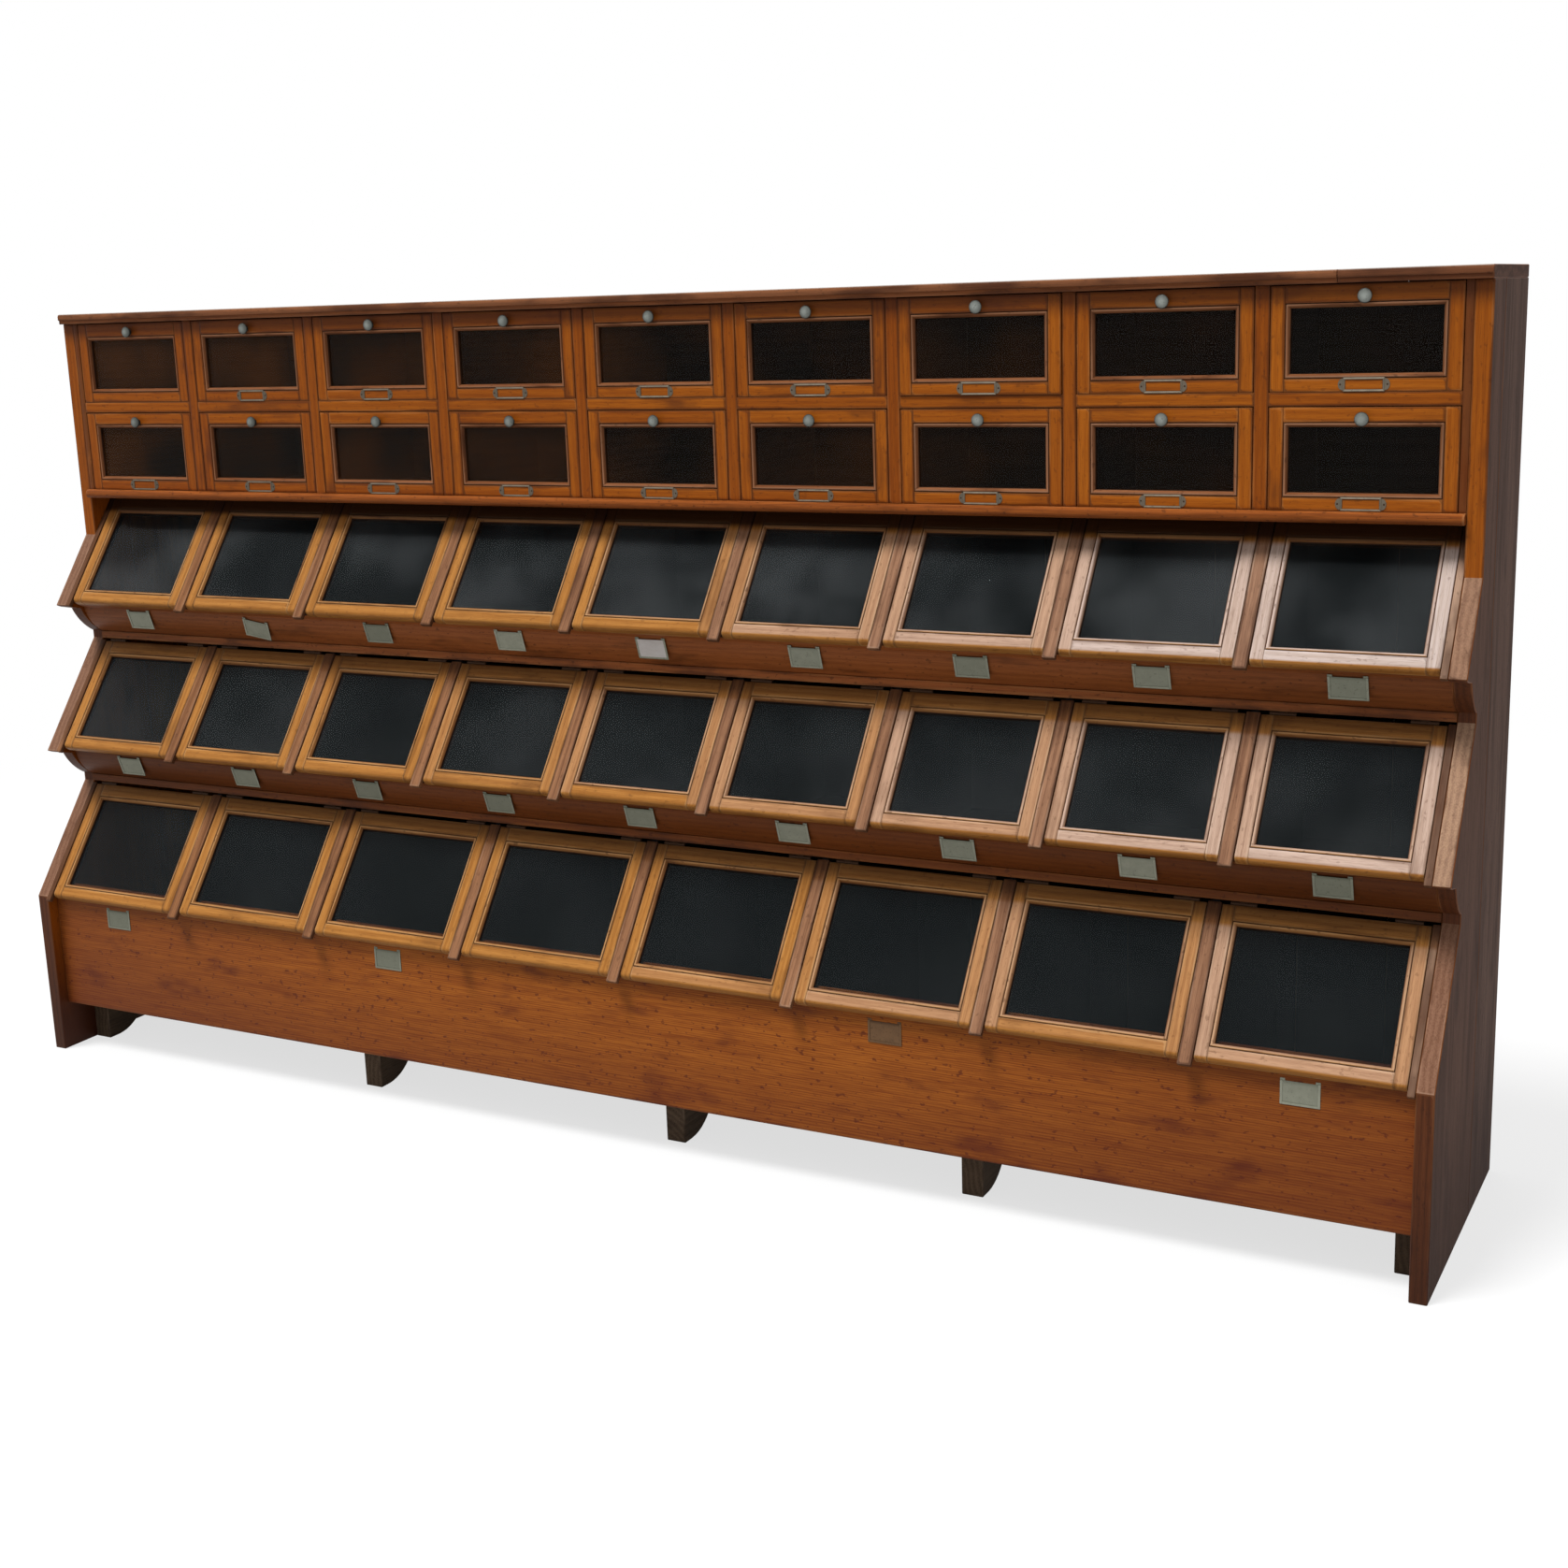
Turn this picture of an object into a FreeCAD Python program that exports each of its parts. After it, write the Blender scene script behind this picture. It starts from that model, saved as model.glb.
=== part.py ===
import FreeCAD, Part
import Sketcher
import os

# A shop display cabinet of wood and glass, 3 metres wide: two rows of nine glass-fronted
# drawers over three stepped tiers of bins, each bin shut by a sloping glazed lid.
# Origin: middle of the footprint, on the floor. +X along the front, +Y to the back, +Z up.

os.makedirs("parts", exist_ok=True)
doc = FreeCAD.newDocument("shop_display_cabinet")

COLUMNS = 9
LOWER_LIDS = 8
BACK_BOARD_COUNT = 18
TIERS = (0, 1, 2)

SIZES = (
    # carcass
    ("pitch", 330, "spacing of the drawers and of the lids of the two upper tiers"),
    ("body_height", 1615, "floor to the top of the top board"),
    ("body_depth", 325, "drawer fronts back to the rear face"),
    ("end_thick", 30, "end panels"),
    ("seam_back", 105, "joint of the two planks of an end panel, behind the drawer fronts"),
    ("top_thick", 21, "top board"),
    ("top_front", 14, "top board in front of the drawer fronts"),
    ("top_step", 3, "step of the top board's lower edge"),
    ("top_step_high", 8, "height of that step"),
    ("back_thick", 12, "back boards"),
    ("back_gap", 1, "open joint between two back boards"),
    # drawer part
    ("upper_front", 170, "height of the openings of the upper drawers"),
    ("lower_front", 168, "height of the openings of the lower drawers"),
    ("mid_rail", 22, "rail between the two rows of drawers"),
    ("divider", 24, "upright between two drawers"),
    ("frame_deep", 20, "depth of the rails and uprights"),
    ("partition", 12, "board between two drawers, behind its upright"),
    ("shelf_thick", 12, "shelf that carries the upper drawers"),
    ("guide_high", 12, "guide strip beside a drawer"),
    ("nosing_thick", 18, "board under the lower drawers"),
    ("nosing_front", 15, "its rounded nosing in front of the drawer fronts"),
    ("nosing_flat", 1, "radius of the nosing beyond half its thickness"),
    # drawers
    ("drawer_gap", 1.5, "gap beside and above a drawer"),
    ("runner_gap", 0.3, "gap under a drawer"),
    ("drawer_rear_gap", 21, "gap behind a shut drawer"),
    ("front_thick", 20, "drawer front frame"),
    ("front_stile", 31.5, "width of the stiles of a drawer front"),
    ("upper_rail", 36, "top rail of the upper drawer fronts"),
    ("lower_rail", 32, "top rail of the lower drawer fronts"),
    ("foot_rail", 29, "bottom rail of the drawer fronts"),
    ("side_thick", 9, "drawer sides and back"),
    ("side_short", 22, "drawer sides stop this much below the top of the front"),
    ("bottom_thick", 6, "drawer bottoms"),
    ("bottom_lift", 4, "drawer bottoms above the runners"),
    ("glass_thick", 2, "panes"),
    ("glass_set", 8, "panes behind the face of their frames"),
    ("knob_wide", 23.5, "head of a knob"),
    ("knob_neck", 9, "neck of a knob"),
    ("knob_stand", 8, "length of the neck"),
    ("knob_rim", 3, "straight rim of the head"),
    ("knob_crown", 4, "rise of the crowned face"),
    ("knob_down", 19, "knob's middle below the top of a drawer front"),
    ("holder_wide", 66, "frame of a label holder"),
    ("holder_high", 22.5, "frame of a label holder"),
    ("holder_ear", 8, "pointed ear each side of a label holder"),
    ("holder_ear_high", 13, "root of that ear"),
    ("holder_rim", 3.5, "rim round the window of a label holder"),
    ("holder_thick", 1.4, "label holder"),
    ("holder_up", 0.5, "label holder above the bottom of a drawer front"),
    ("proud_front", 3, "the seventh upper drawer doesn't shut fully"),
    # stepped tiers
    ("first_reach", 107, "tip of the first tier in front of the drawer fronts"),
    ("tier_step", 71, "each tier stands this much further forward"),
    ("tier_drop", 315, "each tier lies this much lower"),
    ("slope_run", 168, "slope of the lids, front to back"),
    ("slope_rise", 228.5, "slope of the lids, bottom to top"),
    ("nose_run", 12, "end panel under a tip: first corner, back"),
    ("nose_drop", 5, "first corner, down"),
    ("shoulder_run", 42, "second corner, back"),
    ("shoulder_drop", 12, "second corner, down"),
    ("ovolo_round", 130, "radius of the rounded part below"),
    ("lip_high", 16.5, "lip at the bottom of each fascia"),
    ("lip_proud", 3, "lip in front of the end panels' hollow"),
    ("lip_thick", 18, "lip front to back"),
    ("fascia_round", 90, "radius of the fascia's rounded face"),
    ("fascia_run", 50, "top of the rounded face, behind the tip"),
    ("fascia_drop", 10, "top of the rounded face, below the tip"),
    ("fascia_back", 30, "height of the fascia's upright back"),
    ("seat_start", 3, "fascia's seat for the lids starts this far behind their edge"),
    ("seat_long", 24, "length of that seat"),
    ("seat_gap", 0.3, "gap between a shut lid and its seat"),
    ("base_set", 23, "base board behind the last tip"),
    ("base_thick", 20, "base board"),
    ("base_up", 104.5, "base board and bottom above the floor"),
    ("floor_thick", 12, "floors of the bins"),
    ("bin_wall", 12, "walls between the bins"),
    # strips and lids
    ("strip_wide", 24, "strip between two lids"),
    ("strip_thick", 10, "strip"),
    ("strip_proud", 2, "strip above the lids"),
    ("strip_over", 13, "strip past the lids' lower edge"),
    ("lid_gap", 1.5, "gap beside a lid"),
    ("lid_thick", 18, "lid"),
    ("lid_foot", 13, "lower edge of the upper lids, from the tip"),
    ("low_lid_foot", 4, "lower edge of the lids of the last tier, from the tip"),
    ("lid_stile", 30, "side rails of a lid"),
    ("lid_top_rail", 36, "top rail of a lid"),
    ("lid_foot_rail", 32, "bottom rail of a lid"),
    ("hinge_drop", 3.5, "hinge line below the board above it"),
    ("hinge_wide", 45, "hinge"),
    ("hinge_inset", 36, "hinge from the side of its lid"),
    ("hinge_gap", 3, "hinge line past the lid's wood"),
    ("leaf_thick", 1.5, "hinge leaf"),
    ("leaf_deep", 14, "hinge leaf"),
    ("knuckle", 2.5, "radius of the hinge knuckles"),
    ("knuckle_gap", 0.4, "play beside a knuckle"),
    ("pin", 1, "radius of the hinge pin"),
    ("pin_gap", 0.15, "play round the pin in the lid's knuckles"),
    # label plates and feet
    ("plate_wide", 66, "label plate"),
    ("plate_high", 41, "label plate"),
    ("plate_thick", 1.2, "label plate"),
    ("plate_tab", 8, "width of the tab at each top corner of a label plate"),
    ("plate_tab_high", 4, "height of that tab"),
    ("plate_lean", 28, "degrees that a label plate on a fascia leans back"),
    ("skewed_lean", 33, "degrees that the second plate leans back, lower on the round"),
    ("plate_skew", 10, "degrees that the second plate hangs askew"),
    ("plate_gap", 0.1, "label plate off the rounded face"),
    ("base_plate_down", 40, "middle of the plates on the base board, below the tip"),
    ("foot_wide", 42, "inner foot"),
    ("foot_set", 71, "front of the inner feet behind the base board's face"),
    ("foot_long", 120, "inner foot"),
    ("foot_round", 96, "radius of the foot's rounded rear corner"),
    ("foot_heel", 28, "part of the foot that stands on the floor"),
    ("foot_cheek", 8, "upright rear edge of the foot"),
    ("foot_2_across", 804, "second foot from the left end panel"),
    ("foot_3_across", 1550, "third foot"),
    ("foot_4_across", 2176, "fourth foot"),
)

sizes = doc.addObject("Spreadsheet::Sheet", "Sizes")
for line, (alias, number, meaning) in enumerate(SIZES, start=1):
    sizes.set("A%d" % line, meaning)
    sizes.set("B%d" % line, str(number))
    sizes.setAlias("B%d" % line, alias)
doc.recompute()

nodes = []


def number_of(expression):
    """The present value of an expression on the sheet."""
    return float(sizes.evalExpression(expression))


def vector(place):
    """Text of a vector whose parts are expressions."""
    return "vector(%s; %s; %s)" % place


def box(name, corner, size, tilt="0"):
    """A board or block: lowest corner, lengths along its own X, Y, Z, and tilt about X."""
    piece = doc.addObject("Part::Box", name)
    piece.setExpression("Length", size[0])
    piece.setExpression("Width", size[1])
    piece.setExpression("Height", size[2])
    turn = "rotation(vector(1; 0; 0); %s)" % tilt
    piece.setExpression(".Placement", "placement(%s; %s)" % (vector(corner), turn))
    return piece


def rod(name, start, radius, length):
    """A round bar along X."""
    piece = doc.addObject("Part::Cylinder", name)
    piece.setExpression("Radius", radius)
    piece.setExpression("Height", length)
    turn = "rotation(vector(0; 1; 0); 90)"
    piece.setExpression(".Placement", "placement(%s; %s)" % (vector(start), turn))
    return piece


def group(name, pieces, place=None, turn="rotation(vector(1; 0; 0); 0)"):
    """Several pieces kept together, set down as one at a place."""
    bundle = doc.addObject("Part::Compound", name)
    bundle.Links = pieces
    if place:
        bundle.setExpression(".Placement", "placement(%s; %s)" % (vector(place), turn))
    return bundle


def node(name, pieces, place=None, turn="rotation(vector(1; 0; 0); 0)"):
    """One named sub-part of the cabinet."""
    sub_part = group(name, pieces, place, turn)
    sub_part.Label = name
    nodes.append(sub_part)
    return sub_part


def outline(body, plane, corners, rounds=None, window=None):
    """A closed sketch through corners given as pairs of expressions, taken anticlockwise.
    Rounds gives the radius of each side, by its number, that bulges outward as an arc.
    Window holds the corners of a hole."""
    sketch = body.newObject("Sketcher::SketchObject", body.Name + "_outline")
    base = [feature for feature in body.Origin.OriginFeatures if feature.Role == plane][0]
    sketch.AttachmentSupport = [(base, "")]
    sketch.MapMode = "FlatFace"
    closed_line(sketch, corners, rounds or {})
    if window:
        closed_line(sketch, window, {})
    return sketch


def closed_line(sketch, corners, rounds):
    first_side = sketch.GeometryCount
    points = [FreeCAD.Vector(number_of(across), number_of(up), 0) for across, up in corners]
    ends = []
    for number, start in enumerate(points):
        end = points[(number + 1) % len(points)]
        if number in rounds:
            middle = crown(start, end, number_of(rounds[number]))
            side = sketch.addGeometry(Part.Arc(start, middle, end), False)
        else:
            side = sketch.addGeometry(Part.LineSegment(start, end), False)
        forward = sketch.getPoint(side, 1).distanceToPoint(start) < 1e-6
        ends.append((1, 2) if forward else (2, 1))
    for number, (across, up) in enumerate(corners):
        side = first_side + number
        after = (number + 1) % len(points)
        start, end = ends[number]
        sketch.addConstraint(Sketcher.Constraint(
            "Coincident", side, end, first_side + after, ends[after][0]))
        place_x = sketch.addConstraint(Sketcher.Constraint(
            "DistanceX", -1, 1, side, start, points[number].x))
        place_y = sketch.addConstraint(Sketcher.Constraint(
            "DistanceY", -1, 1, side, start, points[number].y))
        sketch.setExpression("Constraints[%d]" % place_x, across)
        sketch.setExpression("Constraints[%d]" % place_y, up)
    for number, radius in rounds.items():
        bend = sketch.addConstraint(Sketcher.Constraint(
            "Radius", first_side + number, number_of(radius)))
        sketch.setExpression("Constraints[%d]" % bend, radius)


def crown(start, end, radius):
    """Middle of an arc that bulges to the right of the way from start to end."""
    run = end - start
    bulge = radius - (radius ** 2 - run.Length ** 2 / 4) ** 0.5
    outward = FreeCAD.Vector(run.y, -run.x, 0).normalize()
    return (start + end) * 0.5 + outward * bulge


def moulding(name, start, length, corners, rounds=None):
    """A length of one section: the section lies across Y and Z, and the piece runs along X."""
    body = doc.addObject("PartDesign::Body", name)
    sketch = outline(body, "YZ_Plane", corners, rounds)
    pad = body.newObject("PartDesign::Pad", name + "_pad")
    pad.Profile = sketch
    pad.setExpression("Length", length)
    body.setExpression(".Placement.Base.x", start)
    return body


# Places that several pieces share. Heights count down from the top, depths from the plane
# of the drawer fronts, which lies where the footprint is centred.
width = "(%d * Sizes.pitch + 2 * Sizes.end_thick)" % COLUMNS
clear_width = "(%d * Sizes.pitch)" % COLUMNS
inner_left = "(-0.5 * %s)" % clear_width
inner_right = "(0.5 * %s)" % clear_width

slope_long = "sqrt(Sizes.slope_run ^ 2 + Sizes.slope_rise ^ 2)"
slope_cos = "(Sizes.slope_run / %s)" % slope_long
slope_sin = "(Sizes.slope_rise / %s)" % slope_long
slope_angle = "atan(Sizes.slope_rise / Sizes.slope_run)"

last_strip_end = "(Sizes.low_lid_foot - Sizes.strip_over)"
front_reach = "(Sizes.first_reach + 2 * Sizes.tier_step - %s * %s + Sizes.strip_proud * %s)" % (
    last_strip_end, slope_cos, slope_sin)
face = "(0.5 * (%s - Sizes.body_depth))" % front_reach
rear = "(%s + Sizes.body_depth)" % face
inner_rear = "(%s - Sizes.back_thick)" % rear

top_under = "(Sizes.body_height - Sizes.top_thick)"
upper_sill = "(%s - Sizes.upper_front)" % top_under
lower_head = "(%s - Sizes.mid_rail)" % upper_sill
lower_sill = "(%s - Sizes.lower_front)" % lower_head
nosing_under = "(%s - Sizes.nosing_thick)" % lower_sill

hinge_along = "(%s - Sizes.hinge_drop / %s)" % (slope_long, slope_sin)
fascia_fall = "(Sizes.tier_drop - Sizes.slope_rise)"
hollow_run = "(Sizes.slope_run - Sizes.tier_step)"


def tip_y(tier):
    return "(%s - Sizes.first_reach - %d * Sizes.tier_step)" % (face, tier)


def tip_z(tier):
    return "(%s - Sizes.slope_rise - %d * Sizes.tier_drop)" % (nosing_under, tier)


def from_tip(tier, back, down):
    """A point given by its way back and down from the tip of a tier."""
    return ("%s + %s" % (tip_y(tier), back), "%s - %s" % (tip_z(tier), down))


def on_slope(tier, along, under="0"):
    """A point given by its way up the slope of a tier and its depth under the slope."""
    back = "(%s) * %s + (%s) * %s" % (along, slope_cos, under, slope_sin)
    rise = "(%s) * %s - (%s) * %s" % (along, slope_sin, under, slope_cos)
    return ("%s + %s" % (tip_y(tier), back), "%s + %s" % (tip_z(tier), rise))


def lid_foot(tier):
    return "Sizes.low_lid_foot" if tier == 2 else "Sizes.lid_foot"


def lids_in(tier):
    return LOWER_LIDS if tier == 2 else COLUMNS


def lid_pitch(tier):
    return "(%s / %d)" % (clear_width, lids_in(tier))


def floor_top(tier):
    """Top of the floor of a tier's bins."""
    if tier == 2:
        return "(Sizes.base_up + Sizes.floor_thick)"
    return "(%s - %s + Sizes.floor_thick)" % (tip_z(tier), fascia_fall)


# End panels: two planks side by side, the front one cut to the stepped outline. Each step has
# a straight slope, a blunt tip, a short shoulder and a rounded hollow down to the next slope.
def front_plank(name, start):
    corners = [
        ("%s + Sizes.seam_back" % face, top_under),
        (face, top_under),
        (face, "%s + Sizes.first_reach * Sizes.slope_rise / Sizes.slope_run" % tip_z(0)),
    ]
    rounds = {}
    for tier in (0, 1):
        corners.append(from_tip(tier, "0", "0"))
        corners.append(from_tip(tier, "Sizes.nose_run", "Sizes.nose_drop"))
        rounds[len(corners)] = "Sizes.ovolo_round"
        corners.append(from_tip(tier, "Sizes.shoulder_run", "Sizes.shoulder_drop"))
        corners.append(from_tip(tier, hollow_run, "(%s - Sizes.lip_high)" % fascia_fall))
        corners.append(from_tip(tier, hollow_run, fascia_fall))
    corners.append(from_tip(2, "0", "0"))
    corners.append((tip_y(2), "0"))
    corners.append(("%s + Sizes.seam_back" % face, "0"))
    return moulding(name, start, "Sizes.end_thick", corners, rounds)


def end_panel(name, start):
    rear_plank = box(
        name + "_rear_plank",
        (start, "%s + Sizes.seam_back" % face, "0"),
        ("Sizes.end_thick", "Sizes.body_depth - Sizes.seam_back", top_under))
    node(name, [front_plank(name + "_front_plank", start), rear_plank])


end_panel("left_end_panel", "%s - Sizes.end_thick" % inner_left)
end_panel("right_end_panel", inner_right)

# Top board: lies over both end panels, its lower front edge stepped back as a small bead.
top_board = moulding("top_board_plank", "-0.5 * %s" % width, width, [
    (rear, top_under),
    (rear, "Sizes.body_height"),
    ("%s - Sizes.top_front" % face, "Sizes.body_height"),
    ("%s - Sizes.top_front" % face, "%s + Sizes.top_step_high" % top_under),
    ("%s - Sizes.top_front + Sizes.top_step" % face, "%s + Sizes.top_step_high" % top_under),
    ("%s - Sizes.top_front + Sizes.top_step" % face, top_under),
])
node("top_board", [top_board])

# Back: upright boards between the end panels, from the bottom up to the top board.
back_pitch = "(%s / %d)" % (clear_width, BACK_BOARD_COUNT)
back = []
for number in range(BACK_BOARD_COUNT):
    back.append(box(
        "back_board_%d" % (number + 1),
        ("%s + %d * %s + 0.5 * Sizes.back_gap" % (inner_left, number, back_pitch),
         inner_rear, "Sizes.base_up"),
        ("%s - Sizes.back_gap" % back_pitch, "Sizes.back_thick", "%s - Sizes.base_up" % top_under)))
node("back_boards", back)

# Face frame of the drawers: uprights from the nosing board to the top board, the outer two
# half as wide, with a rail in each bay between the rows.
frame_pieces = []
for line in range(COLUMNS + 1):
    left_half = "0" if line == 0 else "0.5"
    part_of_width = "0.5" if line in (0, COLUMNS) else "1"
    frame_pieces.append(box(
        "upright_%d" % line,
        ("%s + %d * Sizes.pitch - %s * Sizes.divider" % (inner_left, line, left_half),
         face, lower_sill),
        ("%s * Sizes.divider" % part_of_width, "Sizes.frame_deep", "%s - %s" % (top_under, lower_sill))))
for column in range(COLUMNS):
    frame_pieces.append(box(
        "mid_rail_%d" % (column + 1),
        ("%s + %d * Sizes.pitch + 0.5 * Sizes.divider" % (inner_left, column), face, lower_head),
        ("Sizes.pitch - Sizes.divider", "Sizes.frame_deep", "Sizes.mid_rail")))
node("drawer_face_frame", frame_pieces)

# Behind the frame: a board between neighbouring drawers, a shelf in each bay under the upper
# drawer, and low strips that guide the sides of the drawers.
behind_frame = "(%s + Sizes.frame_deep)" % face
partition_long = "(%s - %s)" % (inner_rear, behind_frame)
partitions = []
for line in range(1, COLUMNS):
    partitions.append(box(
        "partition_%d" % line,
        ("%s + %d * Sizes.pitch - 0.5 * Sizes.partition" % (inner_left, line),
         behind_frame, lower_sill),
        ("Sizes.partition", partition_long, "%s - %s" % (top_under, lower_sill))))
for column in range(COLUMNS):
    left_wall = "0" if column == 0 else "0.5 * Sizes.partition"
    right_wall = "0" if column == COLUMNS - 1 else "0.5 * Sizes.partition"
    bay_left = "%s + %d * Sizes.pitch" % (inner_left, column)
    bay_right = "%s + %d * Sizes.pitch" % (inner_left, column + 1)
    partitions.append(box(
        "shelf_%d" % (column + 1),
        ("%s + %s" % (bay_left, left_wall), behind_frame, "%s - Sizes.shelf_thick" % upper_sill),
        ("Sizes.pitch - %s - %s" % (left_wall, right_wall), partition_long, "Sizes.shelf_thick")))
    for row, sill in (("upper", upper_sill), ("lower", lower_sill)):
        partitions.append(box(
            "%s_left_guide_%d" % (row, column + 1),
            ("%s + %s" % (bay_left, left_wall), behind_frame, sill),
            ("0.5 * Sizes.divider - %s" % left_wall, partition_long, "Sizes.guide_high")))
        partitions.append(box(
            "%s_right_guide_%d" % (row, column + 1),
            ("%s - 0.5 * Sizes.divider" % bay_right, behind_frame, sill),
            ("0.5 * Sizes.divider - %s" % right_wall, partition_long, "Sizes.guide_high")))
node("drawer_partitions", partitions)

# Nosing board: carries the lower drawers and covers the bins of the first tier.
nosing_radius = "(0.5 * Sizes.nosing_thick + Sizes.nosing_flat)"
nosing_crown = "(%s - sqrt(%s ^ 2 - 0.25 * Sizes.nosing_thick ^ 2))" % (
    nosing_radius, nosing_radius)
nosing_edge = "%s - Sizes.nosing_front + %s" % (face, nosing_crown)
nosing = moulding("nosing_plank", inner_left, clear_width, [
    (inner_rear, nosing_under),
    (inner_rear, lower_sill),
    (nosing_edge, lower_sill),
    (nosing_edge, nosing_under),
], {2: nosing_radius})
node("nosing_board", [nosing])


# Fascias: moulded boards under the lids of the first two tiers, with a seat for the lids
# along the top, a rounded face and a square lip that covers the hinges of the next tier.
seat_under = "Sizes.lid_thick + Sizes.seat_gap"
lip_face = "(%s - Sizes.lip_proud)" % hollow_run
lip_rear = "(%s + Sizes.lip_thick)" % lip_face
lip_fall = "(%s - Sizes.lip_high)" % fascia_fall


def fascia(name, tier):
    seat_front = "%s + Sizes.seat_start" % lid_foot(tier)
    seat_back = "%s + Sizes.seat_long" % seat_front
    section = moulding(name + "_board", inner_left, clear_width, [
        from_tip(tier, lip_rear, fascia_fall),
        from_tip(tier, lip_rear, "(%s - Sizes.fascia_back)" % fascia_fall),
        on_slope(tier, seat_back, seat_under),
        on_slope(tier, seat_front, seat_under),
        from_tip(tier, "Sizes.fascia_run", "Sizes.fascia_drop"),
        from_tip(tier, hollow_run, lip_fall),
        from_tip(tier, lip_face, lip_fall),
        from_tip(tier, lip_face, fascia_fall),
    ], {4: "Sizes.fascia_round"})
    node(name, [section])


fascia("fascia_upper", 0)
fascia("fascia_middle", 1)

# Base board: the tall front of the last tier; its bevelled top edge is the seat of the lids.
base_front = "Sizes.base_set"
base_rear = "(Sizes.base_set + Sizes.base_thick)"


def seat_height(back):
    """Height of the last tier's seat line at a distance behind the tip."""
    return "%s + %s * Sizes.slope_rise / Sizes.slope_run - (%s) / %s" % (
        tip_z(2), back, seat_under, slope_cos)


base_plank = moulding("base_plank", inner_left, clear_width, [
    ("%s + %s" % (tip_y(2), base_front), "Sizes.base_up"),
    ("%s + %s" % (tip_y(2), base_rear), "Sizes.base_up"),
    ("%s + %s" % (tip_y(2), base_rear), seat_height(base_rear)),
    ("%s + %s" % (tip_y(2), base_front), seat_height(base_front)),
])
node("base_board", [base_plank])

# Floors of the bins, from the back boards forward to each fascia and to the base board.
floors = []
for tier in TIERS:
    floor_front = "%s + %s" % (tip_y(tier), base_rear if tier == 2 else lip_rear)
    floors.append(box(
        "bin_floor_%d" % (tier + 1),
        (inner_left, floor_front, "%s - Sizes.floor_thick" % floor_top(tier)),
        (clear_width, "%s - (%s)" % (inner_rear, floor_front), "Sizes.floor_thick")))
node("bin_floors", floors)

# Bin walls: boards between neighbouring bins, cut to the slope under the strips and round
# the back of the fascia.
strip_under = "(Sizes.strip_thick - Sizes.strip_proud)"


def bin_wall(tier):
    ceiling = "%s + Sizes.slope_rise" % tip_z(tier)
    wall_head = on_slope(tier, hinge_along, strip_under)
    seat_front = "%s + Sizes.seat_start" % lid_foot(tier)
    corners = [
        (inner_rear, floor_top(tier)),
        (inner_rear, ceiling),
        (wall_head[0], ceiling),
        wall_head,
    ]
    if tier == 2:
        base_top_front = "%s + %s" % (tip_y(2), base_front)
        base_top_rear = "%s + %s" % (tip_y(2), base_rear)
        toe = "%s + (%s - %s) / %s" % (
            seat_height(base_front), seat_under, strip_under, slope_cos)
        corners += [
            (base_top_front, toe),
            (base_top_front, seat_height(base_front)),
            (base_top_rear, seat_height(base_rear)),
            (base_top_rear, floor_top(tier)),
        ]
    else:
        fascia_top_rear = from_tip(tier, lip_rear, "(%s - Sizes.fascia_back)" % fascia_fall)
        corners += [
            on_slope(tier, seat_front, strip_under),
            on_slope(tier, seat_front, seat_under),
            on_slope(tier, "%s + Sizes.seat_long" % seat_front, seat_under),
            fascia_top_rear,
            (fascia_top_rear[0], floor_top(tier)),
        ]
    return moulding("bin_wall_%d" % (tier + 1), "-0.5 * Sizes.bin_wall", "Sizes.bin_wall", corners)


walls = []
for tier in TIERS:
    wall = bin_wall(tier)
    for line in range(1, lids_in(tier)):
        place = ("%s + %d * %s" % (inner_left, line, lid_pitch(tier)), "0", "0")
        walls.append(group("bin_wall_%d_%d" % (tier + 1, line), [wall], place))
node("bin_dividers", walls)

# Strips on the edges of the walls, between the lids; the outer ones are half as wide and
# fixed to the end panels.
strips = []
for tier in TIERS:
    strip_end = "(%s - Sizes.strip_over)" % lid_foot(tier)
    count = lids_in(tier)
    for line in range(count + 1):
        left_half = "0" if line == 0 else "0.5"
        part_of_width = "0.5" if line in (0, count) else "1"
        across = "%s + %d * %s - %s * Sizes.strip_wide" % (
            inner_left, line, lid_pitch(tier), left_half)
        strips.append(box(
            "strip_%d_%d" % (tier + 1, line),
            (across,) + on_slope(tier, strip_end, strip_under),
            ("%s * Sizes.strip_wide" % part_of_width,
             "%s - %s" % (hinge_along, strip_end), "Sizes.strip_thick"),
            slope_angle))
node("lid_strips", strips)

# Inner feet: blocks under the bottom board with a rounded rear corner.
foot_face = "(%s + Sizes.base_set + Sizes.foot_set)" % tip_y(2)
foot_rear = "%s + Sizes.foot_long" % foot_face
foot = moulding("foot_block", "0", "Sizes.foot_wide", [
    (foot_face, "0"),
    ("%s + Sizes.foot_heel" % foot_face, "0"),
    (foot_rear, "Sizes.base_up - Sizes.foot_cheek"),
    (foot_rear, "Sizes.base_up"),
    (foot_face, "Sizes.base_up"),
], {1: "Sizes.foot_round"})
feet = []
for number, across in enumerate((
    inner_left,
    "%s + Sizes.foot_2_across - 0.5 * Sizes.foot_wide" % inner_left,
    "%s + Sizes.foot_3_across - 0.5 * Sizes.foot_wide" % inner_left,
    "%s + Sizes.foot_4_across - 0.5 * Sizes.foot_wide" % inner_left,
    "%s - Sizes.foot_wide" % inner_right,
)):
    feet.append(group("foot_%d" % (number + 1), [foot], (across, "0", "0")))
node("inner_feet", feet)

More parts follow.
